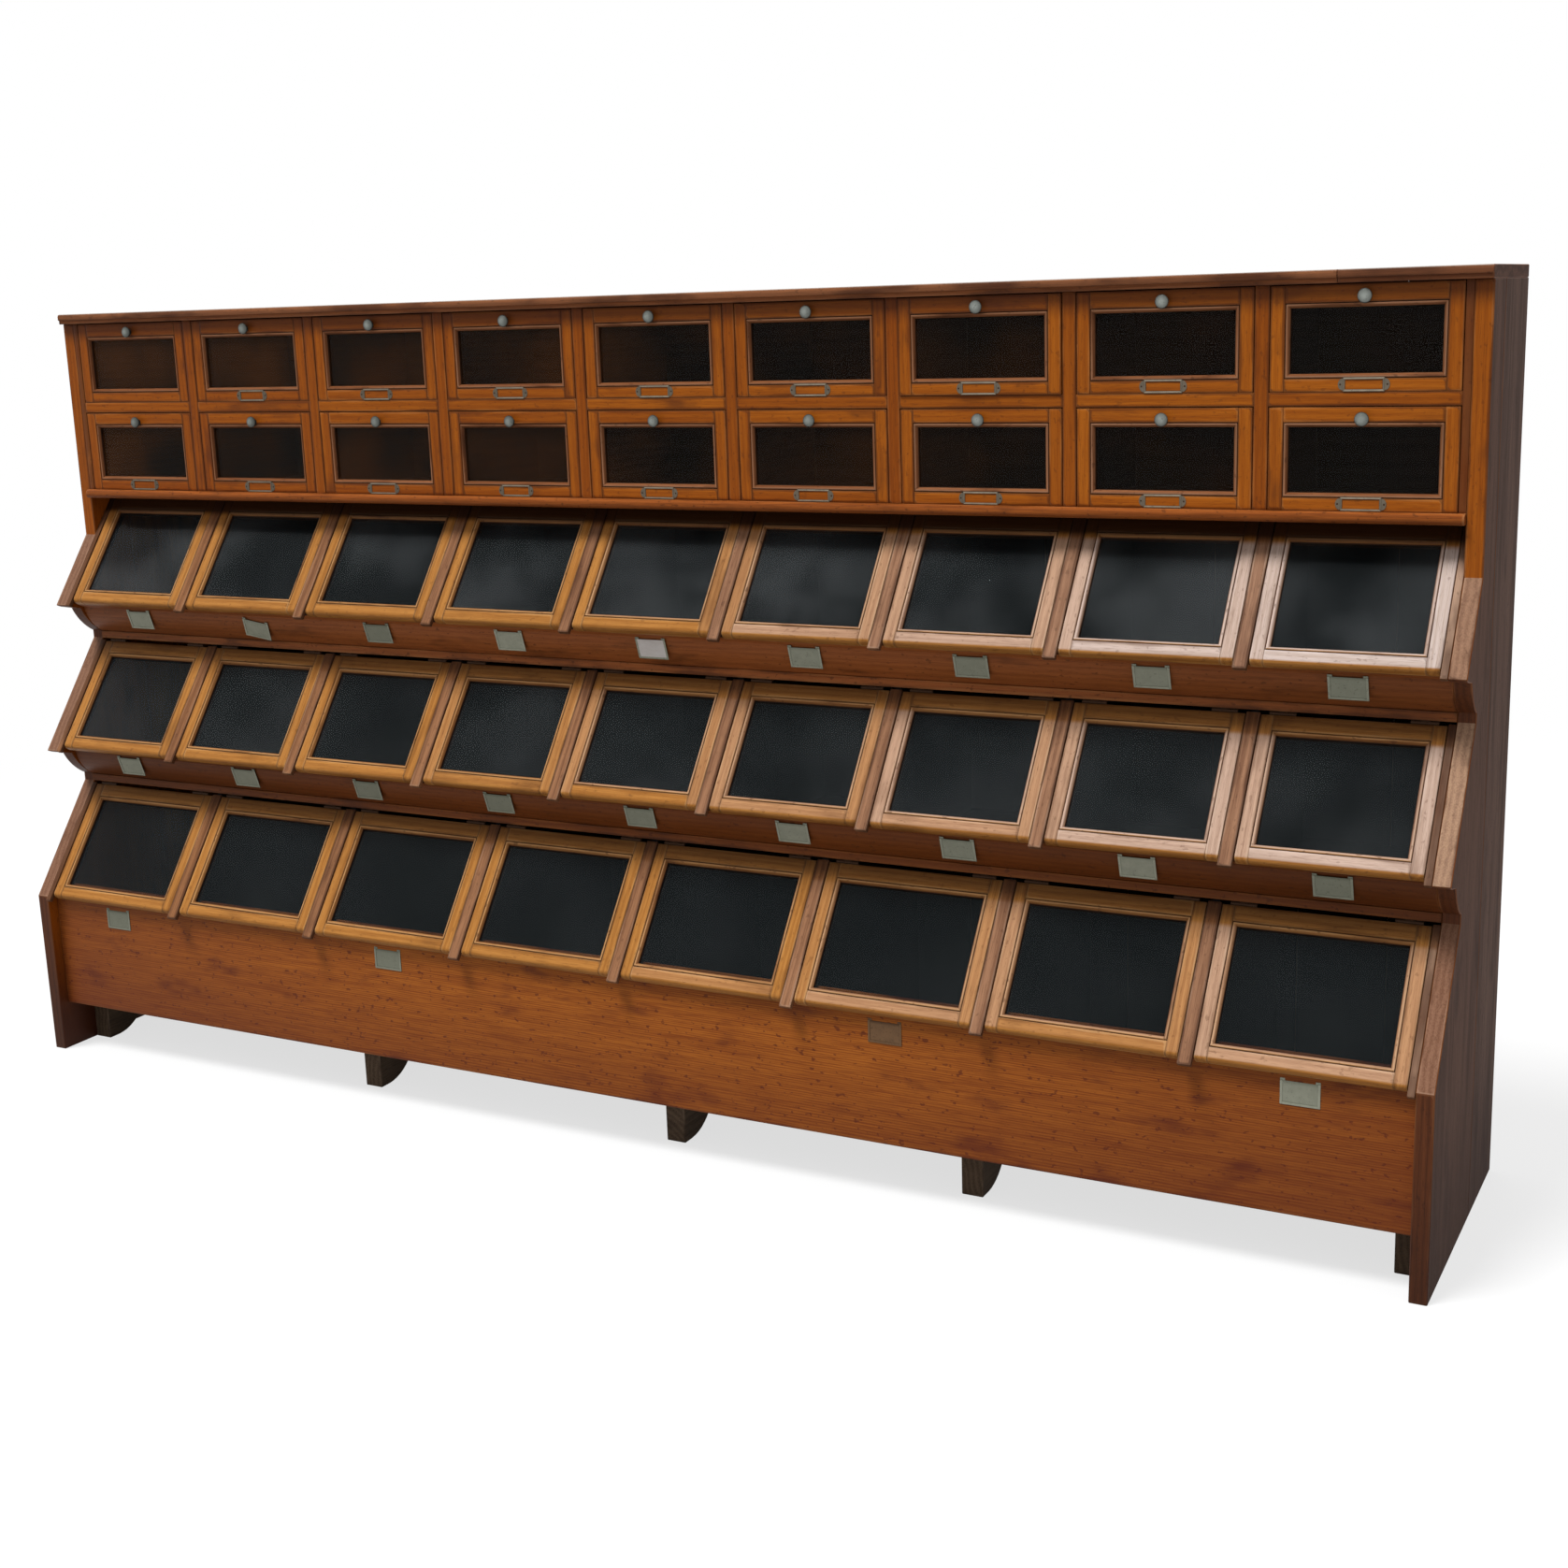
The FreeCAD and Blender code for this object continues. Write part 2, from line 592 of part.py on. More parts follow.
# Label plates: thin metal plates with a tab at each top corner, one under each upper lid,
# lying against the rounded face of the fascia, and four on the base board.
plate = doc.addObject("PartDesign::Body", "plate")
half_wide = "0.5 * Sizes.plate_wide"
half_high = "0.5 * Sizes.plate_high"
plate_pad = plate.newObject("PartDesign::Pad", "plate_pad")
plate_pad.Profile = outline(plate, "XZ_Plane", [
    ("-%s" % half_wide, "-%s" % half_high),
    (half_wide, "-%s" % half_high),
    (half_wide, "%s + Sizes.plate_tab_high" % half_high),
    ("%s - Sizes.plate_tab" % half_wide, "%s + Sizes.plate_tab_high" % half_high),
    ("%s - Sizes.plate_tab" % half_wide, half_high),
    ("-%s + Sizes.plate_tab" % half_wide, half_high),
    ("-%s + Sizes.plate_tab" % half_wide, "%s + Sizes.plate_tab_high" % half_high),
    ("-%s" % half_wide, "%s + Sizes.plate_tab_high" % half_high),
])
plate_pad.setExpression("Length", "Sizes.plate_thick")

arc_run = "(%s - Sizes.fascia_run)" % hollow_run
arc_fall = "(%s - Sizes.fascia_drop)" % lip_fall
arc_chord = "sqrt(%s ^ 2 + %s ^ 2)" % (arc_run, arc_fall)
arc_reach = "sqrt(Sizes.fascia_round ^ 2 - 0.25 * %s ^ 2)" % arc_chord
arc_back = "(Sizes.fascia_run + 0.5 * %s + %s * %s / %s)" % (
    arc_run, arc_reach, arc_fall, arc_chord)
arc_down = "(Sizes.fascia_drop + 0.5 * %s - %s * %s / %s)" % (
    arc_fall, arc_reach, arc_run, arc_chord)
plate_reach = "(Sizes.fascia_round + Sizes.plate_gap)"

plates = []
for tier in (0, 1):
    for column in range(COLUMNS):
        across = "%s + (%d + 0.5) * Sizes.pitch" % (inner_left, column)
        lean = "Sizes.plate_lean"
        turn = "rotation(vector(1; 0; 0); %s)" % lean
        # The second plate has slipped down the rounded face and hangs askew.
        if (tier, column) == (0, 1):
            lean = "Sizes.skewed_lean"
            turn = "rotation(vector(1; 0; 0); %s) * rotation(vector(0; 1; 0); Sizes.plate_skew)" % lean
        plate_back = "(%s - %s * cos(%s * 1deg))" % (arc_back, plate_reach, lean)
        plate_down = "(%s + %s * sin(%s * 1deg))" % (arc_down, plate_reach, lean)
        plates.append(group(
            "label_plate_%d_%d" % (tier + 1, column + 1), [plate],
            (across,) + from_tip(tier, plate_back, plate_down), turn))
for column in (0, 2, 5, 7):
    across = "%s + (%d + 0.5) * %s" % (inner_left, column, lid_pitch(2))
    plates.append(group(
        "label_plate_3_%d" % (column + 1), [plate],
        (across,) + from_tip(2, base_front, "Sizes.base_plate_down")))
node("label_plates", plates)

# Hinges: a leaf under the board above the lid, with the middle knuckle, and a leaf on the
# upper end of the lid, with the two outer knuckles, on one pin.
third = "(Sizes.hinge_wide / 3)"


def joined(name, pieces, bore):
    body = doc.addObject("Part::MultiFuse", name + "_joined")
    body.Shapes = pieces
    drilled = doc.addObject("Part::Cut", name)
    drilled.Base = body
    drilled.Tool = bore
    return drilled


def fixed_leaf():
    leaf_under = "Sizes.hinge_drop - Sizes.leaf_thick"
    past_knuckle = "(Sizes.knuckle + Sizes.knuckle_gap)"
    leaf = box(
        "fixed_leaf_plate", ("-0.5 * Sizes.hinge_wide", past_knuckle, leaf_under),
        ("Sizes.hinge_wide", "Sizes.leaf_deep - %s" % past_knuckle, "Sizes.leaf_thick"))
    tongue = box(
        "fixed_leaf_tongue", ("-0.5 * %s" % third, "0", leaf_under),
        (third, past_knuckle, "Sizes.leaf_thick"))
    knuckle = rod("fixed_knuckle", ("-0.5 * %s" % third, "0", "0"), "Sizes.knuckle", third)
    bore = rod("fixed_bore", ("-0.5 * Sizes.hinge_wide", "0", "0"), "Sizes.pin", "Sizes.hinge_wide")
    return joined("fixed_leaf", [leaf, tongue, knuckle], bore)


def moving_leaf(name, across):
    left = "%s - 0.5 * Sizes.hinge_wide" % across
    knuckle_long = "(%s - Sizes.knuckle_gap)" % third
    right = "%s + 0.5 * Sizes.hinge_wide - %s" % (across, knuckle_long)
    past_knuckle = "(Sizes.knuckle + Sizes.knuckle_gap)"
    pieces = [box(
        name + "_plate", (left, "-Sizes.hinge_gap", "-Sizes.leaf_deep"),
        ("Sizes.hinge_wide", "Sizes.leaf_thick", "Sizes.leaf_deep - %s" % past_knuckle))]
    for side, start in (("left", left), ("right", right)):
        pieces.append(box(
            "%s_%s_tongue" % (name, side), (start, "-Sizes.hinge_gap", "-%s" % past_knuckle),
            (knuckle_long, "Sizes.leaf_thick", past_knuckle)))
        pieces.append(rod(
            "%s_%s_knuckle" % (name, side), (start, "0", "0"), "Sizes.knuckle", knuckle_long))
    bore = rod(name + "_bore", (left, "0", "0"), "Sizes.pin + Sizes.pin_gap", "Sizes.hinge_wide")
    return joined(name, pieces, bore)


hinge_pieces = [fixed_leaf(), rod(
    "hinge_pin", ("-0.5 * Sizes.hinge_wide", "0", "0"), "Sizes.pin", "Sizes.hinge_wide")]
hinges = []
for tier in TIERS:
    hinge_off = "(0.5 * %s - 0.5 * Sizes.strip_wide - Sizes.lid_gap - Sizes.hinge_inset)" % (
        lid_pitch(tier))
    for column in range(lids_in(tier)):
        middle = "%s + (%d + 0.5) * %s" % (inner_left, column, lid_pitch(tier))
        for side, sign in (("left", "-"), ("right", "+")):
            hinges.append(group(
                "hinge_%d_%d_%s" % (tier + 1, column + 1, side), hinge_pieces,
                ("%s %s %s" % (middle, sign, hinge_off),) + on_slope(tier, hinge_along)))
node("hinge_leaves", hinges)


# Drawers. A drawer's own origin is the bottom of its front face, in the middle.
front_wide = "(Sizes.pitch - Sizes.divider - 2 * Sizes.drawer_gap)"
drawer_deep = "(Sizes.body_depth - Sizes.back_thick - Sizes.drawer_rear_gap)"


def knob(name, height):
    body = doc.addObject("PartDesign::Body", name)
    neck = "0.5 * Sizes.knob_neck"
    head = "0.5 * Sizes.knob_wide"
    rim = "-Sizes.knob_stand - Sizes.knob_rim"
    crown_round = "0.5 * ((%s) ^ 2 / Sizes.knob_crown + Sizes.knob_crown)" % head
    section = outline(body, "YZ_Plane", [
        ("0", "0"),
        ("0", neck),
        ("-Sizes.knob_stand", neck),
        ("-Sizes.knob_stand", head),
        (rim, head),
        ("%s - Sizes.knob_crown" % rim, "0"),
    ], {4: crown_round})
    turned = body.newObject("PartDesign::Revolution", name + "_turned")
    turned.Profile = section
    turned.ReferenceAxis = (section, ["H_Axis"])
    turned.Angle = 360
    body.setExpression(".Placement.Base.z", height)
    return body


def label_holder(name):
    body = doc.addObject("PartDesign::Body", name)
    side = "0.5 * Sizes.holder_wide"
    point = "%s + Sizes.holder_ear" % side
    low = "Sizes.holder_up"
    high = "Sizes.holder_up + Sizes.holder_high"
    middle = "Sizes.holder_up + 0.5 * Sizes.holder_high"
    root = "0.5 * Sizes.holder_ear_high"
    sketch = outline(body, "XZ_Plane", [
        ("-(%s)" % side, low),
        (side, low),
        (side, "%s - %s" % (middle, root)),
        (point, middle),
        (side, "%s + %s" % (middle, root)),
        (side, high),
        ("-(%s)" % side, high),
        ("-(%s)" % side, "%s + %s" % (middle, root)),
        ("-(%s)" % point, middle),
        ("-(%s)" % side, "%s - %s" % (middle, root)),
    ], window=[
        ("-(%s) + Sizes.holder_rim" % side, "%s + Sizes.holder_rim" % low),
        ("%s - Sizes.holder_rim" % side, "%s + Sizes.holder_rim" % low),
        ("%s - Sizes.holder_rim" % side, "%s - Sizes.holder_rim" % high),
        ("-(%s) + Sizes.holder_rim" % side, "%s - Sizes.holder_rim" % high),
    ])
    pad = body.newObject("PartDesign::Pad", name + "_pad")
    pad.Profile = sketch
    pad.setExpression("Length", "Sizes.holder_thick")
    return body


def drawer_pieces(row, opening, rail):
    """The pieces of one drawer: glazed front, open box behind it, knob and label holder."""
    high = "(%s - Sizes.runner_gap - Sizes.drawer_gap)" % opening
    side_high = "(%s - Sizes.side_short)" % high
    left = "-0.5 * %s" % front_wide
    inside = "%s - 2 * Sizes.front_stile" % front_wide
    box_wide = "%s - 2 * Sizes.side_thick" % front_wide
    box_long = "%s - Sizes.front_thick" % drawer_deep
    boards = (
        ("left_stile", (left, "0", "0"), ("Sizes.front_stile", "Sizes.front_thick", high)),
        ("right_stile", ("%s + Sizes.front_stile + %s" % (left, inside), "0", "0"),
         ("Sizes.front_stile", "Sizes.front_thick", high)),
        ("foot_rail", ("%s + Sizes.front_stile" % left, "0", "0"),
         (inside, "Sizes.front_thick", "Sizes.foot_rail")),
        ("top_rail", ("%s + Sizes.front_stile" % left, "0", "%s - %s" % (high, rail)),
         (inside, "Sizes.front_thick", rail)),
        ("pane", ("%s + Sizes.front_stile" % left, "Sizes.glass_set", "Sizes.foot_rail"),
         (inside, "Sizes.glass_thick", "%s - Sizes.foot_rail - %s" % (high, rail))),
        ("left_side", (left, "Sizes.front_thick", "0"), ("Sizes.side_thick", box_long, side_high)),
        ("right_side", ("%s + Sizes.side_thick + %s" % (left, box_wide), "Sizes.front_thick", "0"),
         ("Sizes.side_thick", box_long, side_high)),
        ("back", ("%s + Sizes.side_thick" % left, "%s - Sizes.side_thick" % drawer_deep,
                  "Sizes.bottom_lift"),
         (box_wide, "Sizes.side_thick", "%s - Sizes.bottom_lift" % side_high)),
        ("bottom", ("%s + Sizes.side_thick" % left, "Sizes.front_thick", "Sizes.bottom_lift"),
         (box_wide, "%s - Sizes.side_thick" % box_long, "Sizes.bottom_thick")),
    )
    pieces = [box("%s_%s" % (row, name), corner, size) for name, corner, size in boards]
    pieces.append(knob(row + "_knob", "%s - Sizes.knob_down" % high))
    return pieces


for row, sill, opening, rail in (
    ("upper", upper_sill, "Sizes.upper_front", "Sizes.upper_rail"),
    ("lower", lower_sill, "Sizes.lower_front", "Sizes.lower_rail"),
):
    pieces = drawer_pieces(row, opening, rail)
    holder = label_holder(row + "_label_holder")
    for column in range(COLUMNS):
        across = "%s + (%d + 0.5) * Sizes.pitch" % (inner_left, column)
        front = "%s - Sizes.proud_front" % face if (row, column) == ("upper", 6) else face
        # The first upper drawer has lost its label holder.
        fittings = [] if (row, column) == ("upper", 0) else [holder]
        node("%s_drawer_%d" % (row, column + 1), pieces + fittings,
             (across, front, "%s + Sizes.runner_gap" % sill))


# Lids. A lid's own origin is the middle of its hinge line; the lid lies below it in the
# plane of the slope, its face upward.
def lid_pieces(kind, tier):
    wide = "(%s - Sizes.strip_wide - 2 * Sizes.lid_gap)" % lid_pitch(tier)
    long = "(%s - %s)" % (hinge_along, lid_foot(tier))
    left = "-0.5 * %s" % wide
    inside = "%s - 2 * Sizes.lid_stile" % wide
    wood_long = "%s - Sizes.hinge_gap" % long
    boards = (
        ("left_stile", (left, "-%s" % long, "-Sizes.lid_thick"),
         ("Sizes.lid_stile", wood_long, "Sizes.lid_thick")),
        ("right_stile", ("%s + Sizes.lid_stile + %s" % (left, inside), "-%s" % long,
                         "-Sizes.lid_thick"),
         ("Sizes.lid_stile", wood_long, "Sizes.lid_thick")),
        ("foot_rail", ("%s + Sizes.lid_stile" % left, "-%s" % long, "-Sizes.lid_thick"),
         (inside, "Sizes.lid_foot_rail", "Sizes.lid_thick")),
        ("top_rail", ("%s + Sizes.lid_stile" % left, "-Sizes.hinge_gap - Sizes.lid_top_rail",
                      "-Sizes.lid_thick"),
         (inside, "Sizes.lid_top_rail", "Sizes.lid_thick")),
        ("pane", ("%s + Sizes.lid_stile" % left, "-%s + Sizes.lid_foot_rail" % long,
                  "-Sizes.glass_set - Sizes.glass_thick"),
         (inside, "%s - Sizes.lid_foot_rail - Sizes.lid_top_rail" % wood_long,
          "Sizes.glass_thick")),
    )
    pieces = [box("%s_%s" % (kind, name), corner, size) for name, corner, size in boards]
    hinge_off = "(0.5 * %s - Sizes.hinge_inset)" % wide
    pieces.append(moving_leaf(kind + "_left_leaf", "-%s" % hinge_off))
    pieces.append(moving_leaf(kind + "_right_leaf", hinge_off))
    return pieces


for kind, tiers in (("upper_lid", (0, 1)), ("low_lid", (2,))):
    pieces = lid_pieces(kind, tiers[0])
    for tier in tiers:
        for column in range(lids_in(tier)):
            across = "%s + (%d + 0.5) * %s" % (inner_left, column, lid_pitch(tier))
            node("tier_%d_lid_%d" % (tier + 1, column + 1), pieces,
                 (across,) + on_slope(tier, hinge_along),
                 "rotation(vector(1; 0; 0); %s)" % slope_angle)

doc.recompute()
for item in doc.Objects:
    if "Invalid" in item.State or "Error" in item.State:
        raise RuntimeError("%s is %s" % (item.Label, item.State))
for sub_part in nodes:
    if sub_part.Shape.isNull() or not sub_part.Shape.isValid():
        raise RuntimeError("%s has no sound shape" % sub_part.Label)
for sub_part in nodes:
    sub_part.Shape.exportStep("parts/%s.step" % sub_part.Label)
whole = Part.makeCompound([sub_part.Shape for sub_part in nodes])
print(len(nodes), "sub-parts,", len(whole.Solids), "solids,", whole.BoundBox)
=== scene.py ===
import math
import random

import bmesh
import bpy
from mathutils import Matrix, Vector


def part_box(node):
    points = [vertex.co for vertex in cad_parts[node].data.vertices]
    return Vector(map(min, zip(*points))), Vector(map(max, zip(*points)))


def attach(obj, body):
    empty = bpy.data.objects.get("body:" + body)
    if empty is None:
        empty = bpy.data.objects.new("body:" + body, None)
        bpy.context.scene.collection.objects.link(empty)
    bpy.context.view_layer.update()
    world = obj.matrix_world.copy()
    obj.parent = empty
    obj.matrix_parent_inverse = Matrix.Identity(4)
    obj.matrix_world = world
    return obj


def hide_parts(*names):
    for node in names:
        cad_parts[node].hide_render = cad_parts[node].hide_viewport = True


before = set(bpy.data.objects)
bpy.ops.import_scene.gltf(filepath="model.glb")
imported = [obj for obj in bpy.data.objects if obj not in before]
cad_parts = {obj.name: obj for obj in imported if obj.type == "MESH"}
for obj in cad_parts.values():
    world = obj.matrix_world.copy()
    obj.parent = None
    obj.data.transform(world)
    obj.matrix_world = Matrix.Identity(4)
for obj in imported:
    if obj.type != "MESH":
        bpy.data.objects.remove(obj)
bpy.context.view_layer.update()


# End panels. Each is two upright planks side by side, the front one sawn to the stepped
# outline that carries the three sloping rows. Outside they are grey and dry, while the
# front edges are still varnished and the sloping edges are rubbed pale.

MM = 0.001
RIM = 6  # how far in from its arrises a board is worn
frame_low, frame_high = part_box("drawer_face_frame")
LEFT, FACE, SILL = (round(value / MM, 3) for value in frame_low)
TOP_UNDER = round(frame_high.z / MM, 3)
PITCH = 330
COLUMNS = 9
NOSING_THICK = 18
NOSING_UNDER = SILL - NOSING_THICK
DEPTH = 325
REAR = FACE + DEPTH
SLOPE_RUN, SLOPE_RISE = 168, 228.5
SLOPE_LONG = math.hypot(SLOPE_RUN, SLOPE_RISE)
SLOPE_COS, SLOPE_SIN = SLOPE_RUN / SLOPE_LONG, SLOPE_RISE / SLOPE_LONG
FIRST_REACH, TIER_STEP, TIER_DROP = 107, 71, 315
HOLLOW_RUN = SLOPE_RUN - TIER_STEP
FASCIA_FALL = TIER_DROP - SLOPE_RISE
END_THICK = 30
SEAM = FACE + 105
LIP_HIGH = 16.5
NOSE, SHOULDER, OVOLO_ROUND = (12, 5), (42, 12), 130


def from_tip(tier, back, down):
    """A place in the cross-section, back and down from the front tip of a sloping row."""
    return (FACE - FIRST_REACH - tier * TIER_STEP + back,
            NOSING_UNDER - SLOPE_RISE - tier * TIER_DROP - down)


def on_slope(tier, along, under=0):
    """A place up the slope of a row, and as far under its surface."""
    return from_tip(tier, along * SLOPE_COS + under * SLOPE_SIN,
                    under * SLOPE_COS - along * SLOPE_SIN)


def hollow(tier):
    """Where the rounded part below a sloping row ends, above its lip."""
    return from_tip(tier, HOLLOW_RUN, FASCIA_FALL - LIP_HIGH)


def arc_centre(start, end, radius):
    """Centre of a round that bulges to the right on the way from start to end."""
    run, rise = end[0] - start[0], end[1] - start[1]
    chord = math.hypot(run, rise)
    reach = math.sqrt(radius ** 2 - 0.25 * chord ** 2)
    return (start[0] + 0.5 * run - reach * rise / chord,
            start[1] + 0.5 * rise + reach * run / chord)


def arc(start, end, radius, parts=12):
    """The round from start to end, without its two ends."""
    centre = arc_centre(start, end, radius)
    first = math.atan2(start[1] - centre[1], start[0] - centre[0])
    last = math.atan2(end[1] - centre[1], end[0] - centre[0])
    sweep = (last - first) % (2 * math.pi)
    turns = [first + sweep * step / parts for step in range(1, parts)]
    return [(centre[0] + radius * math.cos(turn), centre[1] + radius * math.sin(turn))
            for turn in turns]


def softened(outline, soft):
    """The outline with its sharp corners rounded. Each place also says how worn it is:
    1 on a rounded corner and 0 a finger's breadth away from it. A corner may bring its
    own radius as a third number."""
    result = []
    for number, corner in enumerate(outline):
        here = Vector(corner[:2])
        before = Vector(outline[number - 1][:2]) - here
        after = Vector(outline[(number + 1) % len(outline)][:2]) - here
        turn = math.atan2(before.y * after.x - before.x * after.y, -before.dot(after))
        if turn < math.radians(25):
            result.append((here, 0))
            continue
        radius = corner[2] if len(corner) > 2 else soft
        cut = min(radius * math.tan(0.5 * turn), 0.4 * before.length, 0.4 * after.length)
        back, ahead = before.normalized(), after.normalized()
        middle = here + (back + ahead).normalized() * cut * (
            1 / math.cos(0.5 * turn) - 1) / math.tan(0.5 * turn)
        if before.length > 2 * (RIM + cut):
            result.append((here + back * (RIM + cut), 0))
        result += [(here + back * cut, 1), (middle, 1), (here + ahead * cut, 1)]
        if after.length > 2 * (RIM + cut):
            result.append((here + ahead * (RIM + cut), 0))
    return result


def bands(rings, count):
    """The faces between rings of count corners each, one ring after the other."""
    return [[ring * count + step, ring * count + (step + 1) % count,
             (ring + 1) * count + (step + 1) % count, (ring + 1) * count + step]
            for ring in range(rings - 1) for step in range(count)]


class Bench:
    """Boards being shaped, in millimetres. Each board keeps, for its finish, where it lay
    in the tree, how worn each of its corners is, and its own shade."""

    def __init__(self, seed):
        self.mesh = bmesh.new()
        self.grain = self.mesh.loops.layers.float_vector.new("grain")
        self.edge = self.mesh.loops.layers.float.new("edge")
        self.tone = self.mesh.loops.layers.float.new("tone")
        self.chance = random.Random(seed)

    def add(self, points, faces, tone=None, at=Matrix()):
        """Adds one board. A face is its corners, the axis that its grain runs along, the
        number of its finish and how worn each corner is."""
        corners = [self.mesh.verts.new(at @ Vector(point)) for point in points]
        heart = Vector((self.chance.uniform(0, 8), self.chance.uniform(-0.12, 0.12),
                        self.chance.uniform(0.03, 0.1)))
        shade = self.chance.random() if tone is None else tone
        for numbers, along, coat, worn in faces:
            face = self.mesh.faces.new([corners[number] for number in numbers])
            face.material_index = coat
            face.smooth = True
            across, deep = [axis for axis in range(3) if axis != along]
            for loop, number, wear in zip(face.loops, numbers, worn):
                point = points[number]
                loop[self.grain] = heart + Vector(
                    (point[along], point[across], point[deep])) * MM
                loop[self.edge] = wear
                loop[self.tone] = shade

    def board(self, corner, size, soft=1.0, along=None, coat=0, tone=None, at=Matrix()):
        """A plank with softened arrises, its grain along its longest side."""
        soft = min(soft, 0.3 * min(size))
        along = size.index(max(size)) if along is None else along
        ticks = []
        for length in size:
            band = [RIM, length - RIM] if length > 3 * RIM else []
            ticks.append([0, soft] + band + [length - soft, length])
        points, worn, numbers = [], [], {}

        def place(index):
            if index in numbers:
                return numbers[index]
            spot = [ticks[axis][index[axis]] for axis in range(3)]
            held = [min(max(spot[axis], soft), size[axis] - soft) for axis in range(3)]
            off = [spot[axis] - held[axis] for axis in range(3)]
            reach = math.hypot(*off) or 1
            points.append([corner[axis] + held[axis] + off[axis] * soft / reach
                           for axis in range(3)])
            near = sum(index[axis] in (0, 1, len(ticks[axis]) - 2, len(ticks[axis]) - 1)
                       for axis in range(3))
            worn.append(1 if near > 1 else 0)
            numbers[index] = len(points) - 1
            return numbers[index]

        faces = []
        for axis in range(3):
            across, up = (axis + 1) % 3, (axis + 2) % 3
            for side in (0, len(ticks[axis]) - 1):
                for first in range(len(ticks[across]) - 1):
                    for second in range(len(ticks[up]) - 1):
                        loop = []
                        for one, two in ((0, 0), (1, 0), (1, 1), (0, 1)):
                            index = [side] * 3
                            index[across], index[up] = first + one, second + two
                            loop.append(place(tuple(index)))
                        if side == 0:
                            loop.reverse()
                        faces.append((loop, along, coat, [worn[number] for number in loop]))
        self.add(points, faces, tone, at)

    def moulding(self, outline, start, length, soft=1.0, along=0, coat=0, end_coats=None,
                 tone=None, at=Matrix()):
        """A length of moulding along x. The outline runs anticlockwise seen from +x."""
        ring = softened(outline, soft)
        count = len(ring)
        small = []
        for number, (here, wear) in enumerate(ring):
            before = (here - ring[number - 1][0]).normalized()
            after = (ring[(number + 1) % count][0] - here).normalized()
            out_before = Vector((before.y, -before.x))
            outward = (out_before + Vector((after.y, -after.x))).normalized()
            small.append(here - outward * soft / max(0.5, outward.dot(out_before)))
        stations = [0, soft, length - soft, length]
        if length > 3 * RIM:
            stations[2:2] = [RIM, length - RIM]
        points, worn = [], []
        for number, station in enumerate(stations):
            at_end = number in (0, len(stations) - 1)
            for place, (here, wear) in zip(small, ring):
                flat = place if at_end else here
                points.append((start + station, flat[0], flat[1]))
                worn.append(1 if at_end or number in (1, len(stations) - 2) else wear)
        faces = [(loop, along, coat, [worn[corner] for corner in loop])
                 for loop in bands(len(stations), count)]
        first_coat, last_coat = end_coats or (coat, coat)
        last = (len(stations) - 1) * count
        faces.append((list(range(count))[::-1], along, first_coat, [0] * count))
        faces.append((list(range(last, last + count)), along, last_coat, [0] * count))
        self.add(points, faces, tone, at)

    def mitred(self, low, high, profile, coats, worn, tone, sides=(1, 1), grain=(0, 2)):
        """A mitred frame between two opposite corners. sides scales the wear of its level and
        its upright sides; on the label holders it also paints the level bars lighter, as lit
        from above. grain is the axis that each runs along."""
        corners = ((low[0], low[1], 1, 1), (high[0], low[1], -1, 1),
                   (high[0], high[1], -1, -1), (low[0], high[1], 1, -1))
        points = [(x + right * inset, deep, z + up * inset)
                  for x, z, right, up in corners for inset, deep in profile]
        faces = []
        for side in range(4):
            first, second = side * len(profile), (side + 1) % 4 * len(profile)
            for step, coat in enumerate(coats):
                follow = (step + 1) % len(profile)
                loop = [first + step, second + step, second + follow, first + follow]
                here, beyond = (sides[side % 2] * worn[place] for place in (step, follow))
                faces.append((loop, grain[side % 2], coat, [here, here, beyond, beyond]))
        self.add(points, faces, tone)


def piece(name, bench, finishes, body, place=Matrix(), replaces=()):
    """Takes the boards off the bench as one piece of the cabinet."""
    mesh = bpy.data.meshes.new(name)
    bench.mesh.to_mesh(mesh)
    bench.mesh.free()
    mesh.transform(Matrix.Scale(MM, 4) @ place)
    mesh.set_sharp_from_angle(angle=math.radians(32))
    for finish in finishes:
        mesh.materials.append(finish)
    made = bpy.data.objects.new(name, mesh)
    bpy.context.scene.collection.objects.link(made)
    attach(made, body)
    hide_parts(*replaces)


class Amount:
    """A number that varies over a surface, for use in plain sums."""

    def __init__(self, finish, socket):
        self.finish, self.socket = finish, socket

    def sum(self, operation, first, second):
        return self.finish.node("Math", {"operation": operation}, {0: first, 1: second})

    def __add__(self, other):
        return self.sum("ADD", self, other)

    def __sub__(self, other):
        return self.sum("SUBTRACT", self, other)

    def __rsub__(self, other):
        return self.sum("SUBTRACT", other, self)

    def __mul__(self, other):
        return self.sum("MULTIPLY", self, other)

    __radd__ = __add__
    __rmul__ = __mul__

    def sine(self):
        return self.sum("SINE", self, 0)

    def size(self):
        return self.sum("ABSOLUTE", self, 0)

    def remainder(self, size):
        return self.sum("MODULO", self, size)

    def above(self, low, high):
        """0 up to low, 1 from high on, and a soft step between them."""
        return self.finish.node("MapRange", {"interpolation_type": "SMOOTHSTEP"},
                                {"Value": self, "From Min": low, "From Max": high})


